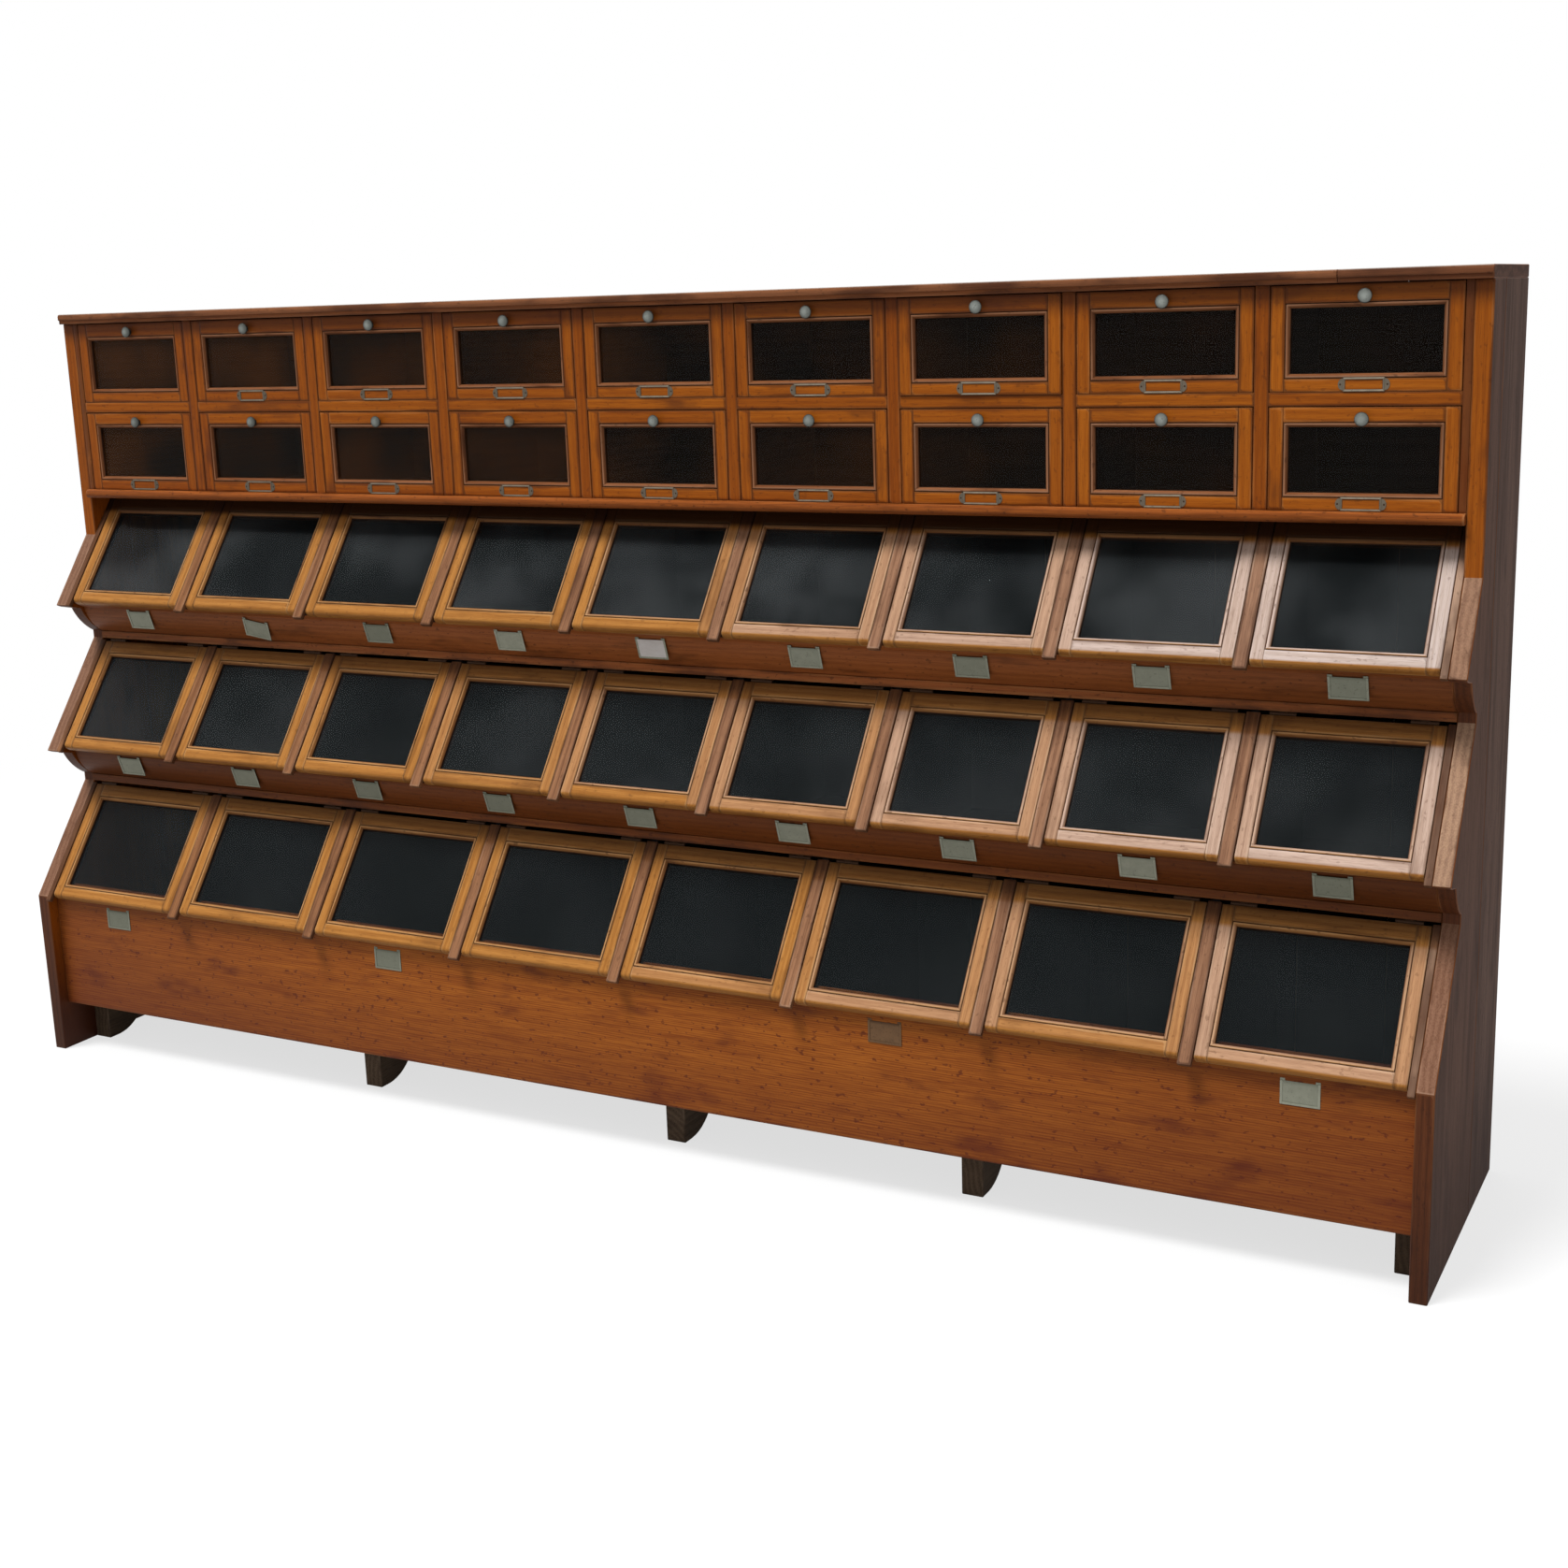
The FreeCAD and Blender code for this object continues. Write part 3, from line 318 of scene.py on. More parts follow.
class Finish:
    """The nodes of one finish."""

    def __init__(self, tree):
        self.tree = tree
        tree.nodes.clear()

    def node(self, kind, settings, inputs, output=0):
        made = self.tree.nodes.new("ShaderNode" + kind)
        for name, value in settings.items():
            setattr(made, name, value)
        for name, value in inputs.items():
            if isinstance(value, Amount):
                self.tree.links.new(value.socket, made.inputs[name])
            else:
                made.inputs[name].default_value = value
        return Amount(self, made.outputs[output]) if made.outputs else None

    def attribute(self, name, output="Fac"):
        return self.node("Attribute", {"attribute_name": name}, {}, output)

    def stretched(self, vector, *factors):
        return self.node("VectorMath", {"operation": "MULTIPLY"}, {0: vector, 1: factors})

    def noise(self, vector, factors, detail=2.0):
        return self.node("TexNoise", {}, {
            "Vector": self.stretched(vector, *factors), "Scale": 1.0, "Detail": detail})

    def place(self, kind="Object"):
        return self.node("TexCoord", {}, {}, kind)

    def along(self, kind, axis="Z"):
        """How far a place, or the way that a surface faces, goes along one axis."""
        return self.node("SeparateXYZ", {}, {"Vector": self.place(kind)}, axis)

    def colour(self, share, first, second):
        """Goes from the first colour to the second as share goes from 0 to 1."""
        return self.node("Mix", {"data_type": "RGBA"}, {
            0: share,
            6: first if isinstance(first, Amount) else (*first, 1),
            7: second if isinstance(second, Amount) else (*second, 1)}, 2)

    def surface(self, inputs):
        shader = self.node("BsdfPrincipled", {}, inputs)
        self.node("OutputMaterial", {}, {"Surface": shader})


def new_finish(name):
    material = bpy.data.materials.new(name)
    material.use_nodes = True
    return material, Finish(material.node_tree)


# The first colour is painted shade under the board above each slope, the second dust.
UNDER_LIP_SHADE, DUST = (0.018, 0.006, 0.003), (0.30, 0.25, 0.21)
# The first row's lids lie deeper in the drawers' shade, so their painted shade is darker.
FIRST_ROW_FROM = (0.91, 0.97)  # metres above the floor, just below the first row of lids


def wood(name, deep, middle, worn, grime_and_shade, roughness=0.42, ring=0.011, wear=0.6, dirt=0.5,
         rim_dirt_and_shade=0.16, dents=0.3, shine=0.12, low_darkening=0, dust=0, unfaded_and_shaded=0, shade_under_top=0,
         ends=0, bench_made=True):
    """Wood with growth rings, fibres, pores, rubbed arrises, dirt and dents. deep, middle and
    worn are each a pair of colours, for the darkest and the palest board. Along the arrises
    dirt gathers with painted shade from the gaps beside them. The wood can grow darker toward
    the floor, carry dust on what faces up, and keep a dark top on each slope: varnish left
    unbleached there, and a painted shadow of the board above. It can carry painted shade close
    under the top board, and grow darker toward the cabinet's two ends."""
    material, finish = new_finish(name)
    if bench_made:
        grain = finish.attribute("grain", "Vector")
        tone = finish.attribute("tone")
        edge = finish.attribute("edge")
    else:
        grain = finish.place()
        tone = finish.noise(grain, (3.1, 3.1, 3.1), 0)
        edge = 0.0
    # The top of each slope, and what does not look up, keeps unbleached varnish; at the top
    # this is also painted shade of the board above.
    if unfaded_and_shaded:
        # drop is how far below the top of its own row a place lies.
        height = finish.along("Object")
        first_row = height.above(*FIRST_ROW_FROM)
        drop = (NOSING_UNDER * MM - height).remainder(TIER_DROP * MM)
        tone = (tone * drop.above(0.032 + first_row * 0.003, 0.040 + first_row * 0.005)
                * finish.along("Normal").above(0.1, 0.5))
    wander = finish.noise(grain, (1.6, 16, 16))
    from_heart = finish.node("VectorMath", {"operation": "LENGTH"}, {
        0: finish.stretched(grain, 0.012, 1, 1)}, "Value")
    rings = (from_heart * (2 * math.pi / ring) + wander * 14).sine() * 0.5 + 0.5
    bands = finish.noise(grain, (2.4, 55, 55))
    fibres = finish.noise(grain, (13, 480, 480), 3)
    pores = finish.noise(grain, (40, 1100, 1100))
    patches = finish.noise(grain, (7, 19, 19), 3)
    figure = (rings * 0.16 + bands * 0.24 + fibres * 0.60).above(0.28, 0.7)
    colour = finish.colour(figure, finish.colour(tone, *deep), finish.colour(tone, *middle))
    colour = finish.colour(pores.above(0.56, 0.68) * 0.35, colour, grime_and_shade)
    rubbed = (edge * 0.75 + (patches - 0.5) * 1.3).above(0.45, 0.8) * wear
    colour = finish.colour(rubbed, colour, finish.colour(tone, *worn))
    # Dirt in patches, and along the arrises dirt with painted shade from the gaps beside them.
    dirt_and_rim_shade = (edge * edge * rim_dirt_and_shade - patches + 1).above(0.56, 0.78) * dirt
    colour = finish.colour(dirt_and_rim_shade, colour, grime_and_shade)
    # Darker toward the floor.
    if low_darkening:
        low = 1 - (finish.along("Object") + patches * 0.12).above(0.11, 0.40)
        colour = finish.colour(low * low_darkening, colour, grime_and_shade)
    # Painted shadow at the top of each slope, under the board above, deeper on the first row.
    if unfaded_and_shaded:
        painted_shade = 1 - drop.above(0.008 + first_row * 0.019, 0.040)
        colour = finish.colour(painted_shade * (first_row * 0.35 + unfaded_and_shaded), colour, UNDER_LIP_SHADE)
    # Painted shade close under the top board.
    if shade_under_top:
        under = 1 - (TOP_UNDER * MM - finish.along("Object")).above(0.012, 0.050)
        colour = finish.colour(under * shade_under_top, colour, grime_and_shade)
    if ends:
        far = (finish.along("Object", "X").size() + patches * 0.5).above(0.7, 1.8)
        colour = finish.colour(far * ends, colour, grime_and_shade)
    if dust:
        lying = finish.along("Normal").above(0.85, 0.99) * (patches * 0.8 + 0.5) * dust
        colour = finish.colour(lying, colour, DUST)
    marks = finish.noise(grain, (75, 130, 130)).above(0.64, 0.7) * dents
    colour = finish.colour(marks, colour, grime_and_shade)
    relief = fibres * 0.5 + pores * 0.4 - marks * 1.2
    bump = finish.node("Bump", {}, {"Strength": 0.35, "Distance": 0.0008, "Height": relief})
    finish.surface({
        "Base Color": colour,
        "Roughness": roughness + pores * 0.12 + rubbed * 0.14,
        "Normal": bump,
        "Specular IOR Level": shine,
    })
    return material


varnished_oak = wood(
    "varnished_oak", deep=((0.20, 0.044, 0.004), (0.33, 0.084, 0.006)),
    middle=((0.28, 0.065, 0.005), (0.45, 0.130, 0.010)),
    worn=((0.40, 0.16, 0.05), (0.50, 0.24, 0.08)), grime_and_shade=(0.055, 0.015, 0.007), wear=0.3,
    dirt=0.6, rim_dirt_and_shade=0.34, low_darkening=0.95, shade_under_top=0.6)
panel_outside = wood(
    "panel_outside", deep=((0.050, 0.020, 0.012), (0.062, 0.034, 0.025)),
    middle=((0.11, 0.048, 0.028), (0.155, 0.095, 0.074)),
    worn=((0.18, 0.09, 0.06), (0.21, 0.14, 0.11)), grime_and_shade=(0.025, 0.011, 0.008),
    roughness=0.68, ring=0.02, wear=0.4, dirt=0.55, shine=0.06, low_darkening=0.5)
rubbed_wood = wood(
    "rubbed_wood", deep=((0.13, 0.055, 0.03), (0.27, 0.16, 0.105)),
    middle=((0.21, 0.10, 0.06), (0.43, 0.27, 0.17)),
    worn=((0.30, 0.17, 0.11), (0.54, 0.37, 0.25)), grime_and_shade=(0.07, 0.03, 0.017),
    roughness=0.5, wear=0.6, dirt=0.65, rim_dirt_and_shade=0.2)
shaded_edge = wood(
    "shaded_edge", deep=((0.05, 0.014, 0.005), (0.08, 0.025, 0.009)),
    middle=((0.09, 0.026, 0.009), (0.15, 0.046, 0.016)),
    worn=((0.16, 0.06, 0.025), (0.22, 0.09, 0.04)), grime_and_shade=(0.015, 0.006, 0.004),
    rim_dirt_and_shade=0.2, low_darkening=0.5)


def end_panel(name, start, outer_side, shade, slope_shades):
    """shade is the tone of the front plank and slope_shades those of its sloping edges."""
    outline = [(SEAM, TOP_UNDER), (FACE, TOP_UNDER), on_slope(0, FIRST_REACH / SLOPE_COS)]
    for tier in (0, 1):
        shoulder = from_tip(tier, *SHOULDER)
        outline += [from_tip(tier, 0, 0), from_tip(tier, *NOSE), shoulder]
        outline += arc(shoulder, hollow(tier), OVOLO_ROUND)
        outline += [hollow(tier), from_tip(tier, HOLLOW_RUN, FASCIA_FALL)]
    outline += [from_tip(2, 0, 0), (from_tip(2, 0, 0)[0], 0), (SEAM, 0)]
    # Grain upright. The outer face takes the second finish.
    coats = (1, 0) if outer_side < 0 else (0, 1)
    bench = Bench(name)
    bench.moulding(outline, start, END_THICK, soft=1.4, along=2, end_coats=coats, tone=shade)
    seam_rear = SEAM + 0.8
    bench.moulding(
        [(seam_rear, 0), (REAR, 0), (REAR, TOP_UNDER), (seam_rear, TOP_UNDER)],
        start, END_THICK, soft=1.4, along=2, end_coats=coats, tone=0.85)
    # Ahead of the drawers the edges are rubbed where they slope, and where they hang they take
    # painted shade.
    for face in bench.mesh.faces:
        face.normal_update()
        ahead = face.calc_center_median().y < FACE - 4
        if face.material_index == 0 and abs(face.normal.x) < 0.6 and ahead:
            face.material_index = 2 if face.normal.z > 0.3 else 3
            if face.material_index == 2:
                tier = int((NOSING_UNDER - face.calc_center_median().z) / TIER_DROP)
                for loop in face.loops:
                    loop[bench.tone] = slope_shades[tier]
        elif face.normal.y > 0.6:
            face.material_index = 1
    piece(name + "_planks", bench, [varnished_oak, panel_outside, rubbed_wood, shaded_edge],
          "carcass", replaces=[name])


end_panel("left_end_panel", LEFT - END_THICK, -1, 0.3, (0.15, 0.15, 0.1))
end_panel("right_end_panel", -LEFT, 1, 0.5, (0.4, 0.8, 0.1))


# Back. Eighteen rough upright deal boards, nailed between the end panels with open joints
# and dark inside, where they close the bins: stain and painted shade.

BACK_THICK = 12
BASE_UP = 104.5
rough_deal = wood(
    "rough_deal", deep=((0.11, 0.06, 0.032), (0.17, 0.10, 0.055)),
    middle=((0.20, 0.12, 0.065), (0.30, 0.19, 0.11)),
    worn=((0.30, 0.20, 0.13), (0.36, 0.26, 0.18)), grime_and_shade=(0.05, 0.028, 0.016),
    roughness=0.72, ring=0.006, wear=0.4, dirt=0.6)
# Nearly black, partly stain and partly painted shade inside the bins.
bin_lining = wood(
    "bin_lining", deep=((0.012, 0.012, 0.014), (0.016, 0.016, 0.018)),
    middle=((0.017, 0.017, 0.019), (0.022, 0.022, 0.024)),
    worn=((0.04, 0.038, 0.036), (0.055, 0.05, 0.046)), grime_and_shade=(0.007, 0.007, 0.008),
    roughness=0.75, bench_made=False)
bench = Bench("back")
back_boards, back_open = 18, 1.2
back_wide = -2 * LEFT / back_boards
for number in range(back_boards):
    bench.board((LEFT + number * back_wide + 0.5 * back_open, REAR - BACK_THICK, BASE_UP),
                (back_wide - back_open, BACK_THICK, TOP_UNDER - BASE_UP), soft=1.2)
for face in bench.mesh.faces:
    face.normal_update()
    if face.normal.y < -0.5:
        face.material_index = 1
piece("back_planks", bench, [rough_deal, bin_lining], "carcass", replaces=["back_boards"])


# Bins and drawer bays. The floors and walls of the bins and the boards behind the drawers
# are the frame's own, never varnished, of dark wood painted darker still as the shade inside
# them. The floors are painted lighter than the walls, as the light that falls on them.

dark_inside = wood(
    "dark_inside", deep=((0.016, 0.010, 0.007), (0.020, 0.012, 0.008)),
    middle=((0.034, 0.020, 0.012), (0.045, 0.026, 0.016)),
    worn=((0.05, 0.03, 0.02), (0.07, 0.045, 0.03)), grime_and_shade=(0.008, 0.006, 0.005),
    roughness=0.7, bench_made=False)
bin_floor_wood = wood(
    "bin_floor_wood", deep=((0.034, 0.037, 0.043), (0.042, 0.046, 0.053)),
    middle=((0.052, 0.057, 0.066), (0.068, 0.074, 0.085)),
    worn=((0.07, 0.074, 0.08), (0.09, 0.094, 0.10)), grime_and_shade=(0.02, 0.02, 0.022),
    roughness=0.75, bench_made=False)


def coat_node(node, finish):
    """Finishes one of the frame's own parts."""
    for material_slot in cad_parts[node].material_slots:
        material_slot.material = finish


coat_node("drawer_partitions", dark_inside)
coat_node("bin_floors", bin_floor_wood)
coat_node("bin_dividers", bin_lining)


# Nosing board. One long oak board under the lower drawers, its front edge rounded over and
# standing a little in front of them.

nosing_front = FACE - 15
nosing_radius = 0.5 * NOSING_THICK + 1
nosing_edge = nosing_front + nosing_radius - math.sqrt(
    nosing_radius ** 2 - 0.25 * NOSING_THICK ** 2)
dark_oak = wood(
    "dark_oak", deep=((0.14, 0.034, 0.006), (0.20, 0.051, 0.009)),
    middle=((0.25, 0.063, 0.011), (0.36, 0.104, 0.018)),
    worn=((0.34, 0.14, 0.05), (0.45, 0.22, 0.09)), grime_and_shade=(0.03, 0.010, 0.005), wear=0.45,
    dirt=0.6, dents=0.5)
bench = Bench("nosing")
bench.moulding(
    [(REAR - BACK_THICK, NOSING_UNDER), (REAR - BACK_THICK, SILL), (nosing_edge, SILL)]
    + arc((nosing_edge, SILL), (nosing_edge, NOSING_UNDER), nosing_radius)
    + [(nosing_edge, NOSING_UNDER)], LEFT, -2 * LEFT, soft=0.6)
piece("nosing_plank", bench, [dark_oak], "carcass", replaces=["nosing_board"])


# Face frame of the drawers. Oak uprights between the nosing board and the top board, with a
# rail tenoned between them in every bay.

DIVIDER = 24
MID_RAIL = 22
UPPER_OPENING, LOWER_OPENING = 170, 168
LOWER_HEAD = SILL + LOWER_OPENING
UPPER_SILL = LOWER_HEAD + MID_RAIL
FRAME_DEEP = 20
bench = Bench("face_frame")
for line in range(COLUMNS + 1):
    across = LEFT + line * PITCH
    left = max(across - 0.5 * DIVIDER, LEFT)
    right = min(across + 0.5 * DIVIDER, -LEFT)
    bench.board((left, FACE, SILL), (right - left, FRAME_DEEP, TOP_UNDER - SILL), soft=0.8,
                tone=0.4 * bench.chance.random())
for column in range(COLUMNS):
    bench.board((LEFT + column * PITCH + 0.5 * DIVIDER, FACE, LOWER_HEAD),
                (PITCH - DIVIDER, FRAME_DEEP, MID_RAIL), soft=0.8,
                tone=0.3 + 0.5 * bench.chance.random())
piece("drawer_frame_rails", bench, [varnished_oak], "carcass",
      replaces=["drawer_face_frame"])


# Top board. A board over both end panels, pieced out with a short length at the right; its
# front edge is rounded above and stepped back below as a bead.

top_front = FACE - 14
TOP = TOP_UNDER + 21
dusty_top = wood(
    "dusty_top", deep=((0.08, 0.024, 0.010), (0.15, 0.046, 0.015)),
    middle=((0.15, 0.046, 0.018), (0.28, 0.092, 0.030)),
    worn=((0.24, 0.10, 0.05), (0.30, 0.15, 0.08)), grime_and_shade=(0.03, 0.012, 0.008),
    roughness=0.5, wear=0.25, dirt=0.6, dust=0.75)
bench = Bench("top")
joint, open_joint, bead_high, bead_back = 1277, 0.5, 8, 3
for start, end, shade in ((LEFT - END_THICK, joint - open_joint, 0.85),
                          (joint, END_THICK - LEFT, 0.35)):
    bench.moulding(
        [(REAR, TOP_UNDER), (REAR, TOP), (top_front, TOP, 5),
         (top_front, TOP_UNDER + bead_high, 2.5),
         (top_front + bead_back, TOP_UNDER + bead_high), (top_front + bead_back, TOP_UNDER)],
        start, end - start, soft=1.2, end_coats=(1, 1), tone=shade)
piece("top_plank", bench, [dusty_top, panel_outside], "carcass", replaces=["top_board"])


# Fascias. Moulded boards between the end panels under the lids of the two upper rows: a
# sloping seat for the lids, a rounded face below it and a small square lip at the bottom.

LID_THICK = 18
LID_FOOT = {0: 13, 1: 13, 2: 4}
FASCIA_ROUND, FASCIA_BACK = 90, 30
BROW = (50, 10)
LIP_FACE, LIP_THICK = HOLLOW_RUN - 3, 18
SEAT_START, SEAT_LONG = 3, 24
seat_under = LID_THICK + 0.3
fascia_wood = wood(
    "fascia_wood", deep=((0.14, 0.036, 0.007), (0.31, 0.092, 0.024)),
    middle=((0.19, 0.052, 0.011), (0.42, 0.130, 0.036)),
    worn=((0.32, 0.11, 0.03), (0.50, 0.22, 0.08)), grime_and_shade=(0.03, 0.010, 0.005),
    roughness=0.4, wear=0.4, dirt=0.6, dents=0.45, ends=0.4)
for name, tier, shade in (("fascia_upper", 0, 0.85), ("fascia_middle", 1, 0.1)):
    seat_front = LID_FOOT[tier] + SEAT_START
    brow = from_tip(tier, *BROW)
    lip_rear = LIP_FACE + LIP_THICK
    bench = Bench(name)
    bench.moulding(
        [from_tip(tier, lip_rear, FASCIA_FALL),
         from_tip(tier, lip_rear, FASCIA_FALL - FASCIA_BACK),
         on_slope(tier, seat_front + SEAT_LONG, seat_under),
         on_slope(tier, seat_front, seat_under), brow]
        + arc(brow, hollow(tier), FASCIA_ROUND)
        + [hollow(tier), (*from_tip(tier, LIP_FACE, FASCIA_FALL - LIP_HIGH), 2.5),
           (*from_tip(tier, LIP_FACE, FASCIA_FALL), 2.5)],
        LEFT, -2 * LEFT, soft=0.8, tone=shade)
    piece(name + "_moulding", bench, [fascia_wood], "carcass", replaces=[name])


# Base board. One wide board across the front of the lowest bins, knocked about by shoes and
# crates, its top edge bevelled as a seat for the lids.

BASE_SET, BASE_THICK = 23, 20
base_wood = wood(
    "base_wood", deep=((0.20, 0.046, 0.007), (0.23, 0.055, 0.009)),
    middle=((0.40, 0.118, 0.015), (0.46, 0.142, 0.020)),
    worn=((0.48, 0.19, 0.06), (0.52, 0.21, 0.065)), grime_and_shade=(0.095, 0.018, 0.008),
    roughness=0.4, ring=0.0035, wear=0.5, dirt=0.8, dents=0.7, low_darkening=0.5, ends=0.42)


def seat_height(back):
    return from_tip(2, 0, 0)[1] + back * SLOPE_RISE / SLOPE_RUN - seat_under / SLOPE_COS


base_front = from_tip(2, BASE_SET, 0)[0]
bench = Bench("base")
bench.moulding(
    [(base_front, BASE_UP), (base_front + BASE_THICK, BASE_UP),
     (base_front + BASE_THICK, seat_height(BASE_SET + BASE_THICK)),
     (base_front, seat_height(BASE_SET))],
    LEFT, -2 * LEFT, soft=1.5)
piece("base_plank", bench, [base_wood], "carcass", replaces=["base_board"])


# Inner feet. Five raw softwood blocks under the bottom, set back from the base board, each
# with a rounded rear corner.

FOOT_WIDE, FOOT_LONG, FOOT_ROUND, FOOT_SET = 42, 120, 96, 71
foot_wood = wood(
    "foot_wood", deep=((0.06, 0.038, 0.024), (0.08, 0.052, 0.034)),
    middle=((0.12, 0.08, 0.05), (0.17, 0.115, 0.075)),
    worn=((0.20, 0.14, 0.10), (0.24, 0.17, 0.12)), grime_and_shade=(0.02, 0.013, 0.010), roughness=0.7)
foot_face = base_front + FOOT_SET
heel, cheek = (foot_face + 28, 0), (foot_face + FOOT_LONG, BASE_UP - 8)
bench = Bench("feet")
inner = [middle - 0.5 * FOOT_WIDE for middle in (804, 1550, 2176)]
for across in [0, *inner, -2 * LEFT - FOOT_WIDE]:
    bench.moulding(
        [(foot_face, 0), heel] + arc(heel, cheek, FOOT_ROUND)
        + [cheek, (foot_face + FOOT_LONG, BASE_UP), (foot_face, BASE_UP)],
        LEFT + across, FOOT_WIDE, soft=1.5, along=1)
piece("foot_blocks", bench, [foot_wood], "carcass", replaces=["inner_feet"])


# Strips. Thin battens nailed on the walls between the lids, rubbed pale by hands, with
# blunt ends that stick out past the lids; the outer ones are half as wide. They grow paler to
# the right, partly painted light, and keep painted shade at their upper ends.

STRIP_WIDE, STRIP_THICK, STRIP_PROUD, STRIP_OVER = 24, 10, 2, 13
HINGE_DROP = 3.5
HINGE_ALONG = SLOPE_LONG - HINGE_DROP / SLOPE_SIN
LIDS_IN = {0: COLUMNS, 1: COLUMNS, 2: 8}


def slope_place(across, tier, along, under=0):
    """Where a thing on the slope stands: x along the cabinet, y into the slope, z up it."""
    back, up = on_slope(tier, along, under)
    return Matrix.Translation((across, back, up)) @ Matrix.Rotation(
        -math.atan2(SLOPE_RUN, SLOPE_RISE), 4, "X")


strip_wood = wood(
    "strip_wood", deep=((0.13, 0.049, 0.018), (0.20, 0.100, 0.060)),
    middle=((0.27, 0.112, 0.040), (0.34, 0.190, 0.118)),
    worn=((0.29, 0.145, 0.075), (0.46, 0.32, 0.23)), grime_and_shade=(0.04, 0.014, 0.008),
    roughness=0.5, wear=0.5, dirt=0.65, rim_dirt_and_shade=0.28, unfaded_and_shaded=0.58)
# The right-hand strips are paler, partly bleached and partly painted light from the right.
palest = (1.0, 0.8, 0.7)  # how pale the right end of each row is
bench = Bench("strips")
for tier, count in LIDS_IN.items():
    strip_foot = LID_FOOT[tier] - STRIP_OVER
    for line in range(count + 1):
        across = LEFT - 2 * LEFT * line / count
        left = max(across - 0.5 * STRIP_WIDE, LEFT)
        right = min(across + 0.5 * STRIP_WIDE, -LEFT)
        shade = palest[tier] * line / count + 0.1 * bench.chance.random()
        bench.board((0, -STRIP_PROUD, 0),
                    (right - left, STRIP_THICK, HINGE_ALONG - strip_foot),
                    soft=1.6, tone=shade, at=slope_place(left, tier, strip_foot))
piece("lid_battens", bench, [strip_wood], "carcass", replaces=["lid_strips"])


# Fixed hinge leaves. Small steel butt hinges, two to a lid, under the board above it and
# almost hidden.

hinge_steel, finish = new_finish("hinge_steel")
speckle = finish.noise(finish.place(), (300, 300, 300))
finish.surface({
    "Base Color": finish.colour(speckle, (0.024, 0.012, 0.006), (0.07, 0.034, 0.018)),
    "Roughness": speckle * 0.3 + 0.5,
    "Metallic": 0.2,
    "Specular IOR Level": 0.15,
})
coat_node("hinge_leaves", hinge_steel)


# Lids. A pine frame with a bead mitred round its pane, hinged at its upper end. The left
# lids have kept their honey colour and the right ones are paler, partly bleached and partly
# painted as lit from the right. At its upper end each lid keeps painted shade from the board
# above.

LID_GAP = 1.5
LID_STILE, LID_HEAD, LID_TOE, LID_NOSE = 30, 36, 32, 9
BEAD = 8
GLASS_SET, GLASS_THICK = 8, 2
HINGE_WIDE, HINGE_GAP, HINGE_INSET = 45, 3, 36
LEAF_THICK, KNUCKLE, KNUCKLE_LONG = 1.5, 2.5, 14.6
# Of each row: where along it the lids start to grow paler, partly bleached and partly painted
# light from the right, how fast they do, and how dusty the panes are, more on the upper rows
# as a painted reflection.
ROW_LOOKS = ((0.51, 2.5, 0.75), (0.45, 1.4, 0.35), (0.62, 0.9, 0.12))
lid_pine = wood(
    "lid_pine", deep=((0.29, 0.112, 0.022), (0.46, 0.355, 0.30)),
    middle=((0.43, 0.186, 0.043), (0.58, 0.475, 0.43)),
    worn=((0.48, 0.27, 0.11), (0.62, 0.53, 0.49)), grime_and_shade=(0.07, 0.024, 0.008),
    roughness=0.42, wear=0.5, dirt=0.45, rim_dirt_and_shade=0.26, dents=0.3, unfaded_and_shaded=0.58)
lid_bead = wood(
    "lid_bead", deep=((0.18, 0.066, 0.018), (0.36, 0.25, 0.20)),
    middle=((0.34, 0.155, 0.050), (0.56, 0.43, 0.37)),
    worn=((0.50, 0.28, 0.12), (0.58, 0.46, 0.40)), grime_and_shade=(0.06, 0.02, 0.01),
    roughness=0.42, wear=0.6, dirt=0.7, rim_dirt_and_shade=0, dents=0.5, unfaded_and_shaded=0.58)
# Dark brown for the bead's inner wall, partly painted shade in its recess.
shaded_bead_wall = wood(
    "shaded_bead_wall", deep=((0.03, 0.012, 0.006), (0.04, 0.018, 0.009)),
    middle=((0.06, 0.024, 0.011), (0.09, 0.04, 0.02)),
    worn=((0.09, 0.04, 0.02), (0.12, 0.06, 0.03)), grime_and_shade=(0.01, 0.006, 0.004),
    roughness=0.6)


def glass(name, cover, shine, clean, filmed):
    """Old thin pane: slightly wavy, with a haze of dust that goes from the clean colour to the
    filmed one, most where the pane's tone is 1; on the lids that tone is set row by row and
    also paints the upper rows' brighter reflection. cover is how much it hides under its own
    dark colour, a painted shade over what lies behind it."""
    material, finish = new_finish(name)
    place = finish.place()
    dust = finish.noise(place, (5, 5, 5), 4).above(0.3, 0.75)
    ripple = finish.noise(place, (9, 9, 14), 1)
    finish.surface({
        "Base Color": finish.colour(dust * finish.attribute("tone"), clean, filmed),
        "Roughness": dust * 0.08 + 0.03,
        "Normal": finish.node("Bump", {}, {
            "Strength": 0.25, "Distance": 0.001, "Height": ripple}),
        "Specular IOR Level": shine,
        "Alpha": cover,
    })
    return material


lid_glass = glass("lid_glass", 0.35, 0.12, (0.0095, 0.0125, 0.0135),
                  (0.075, 0.083, 0.087))


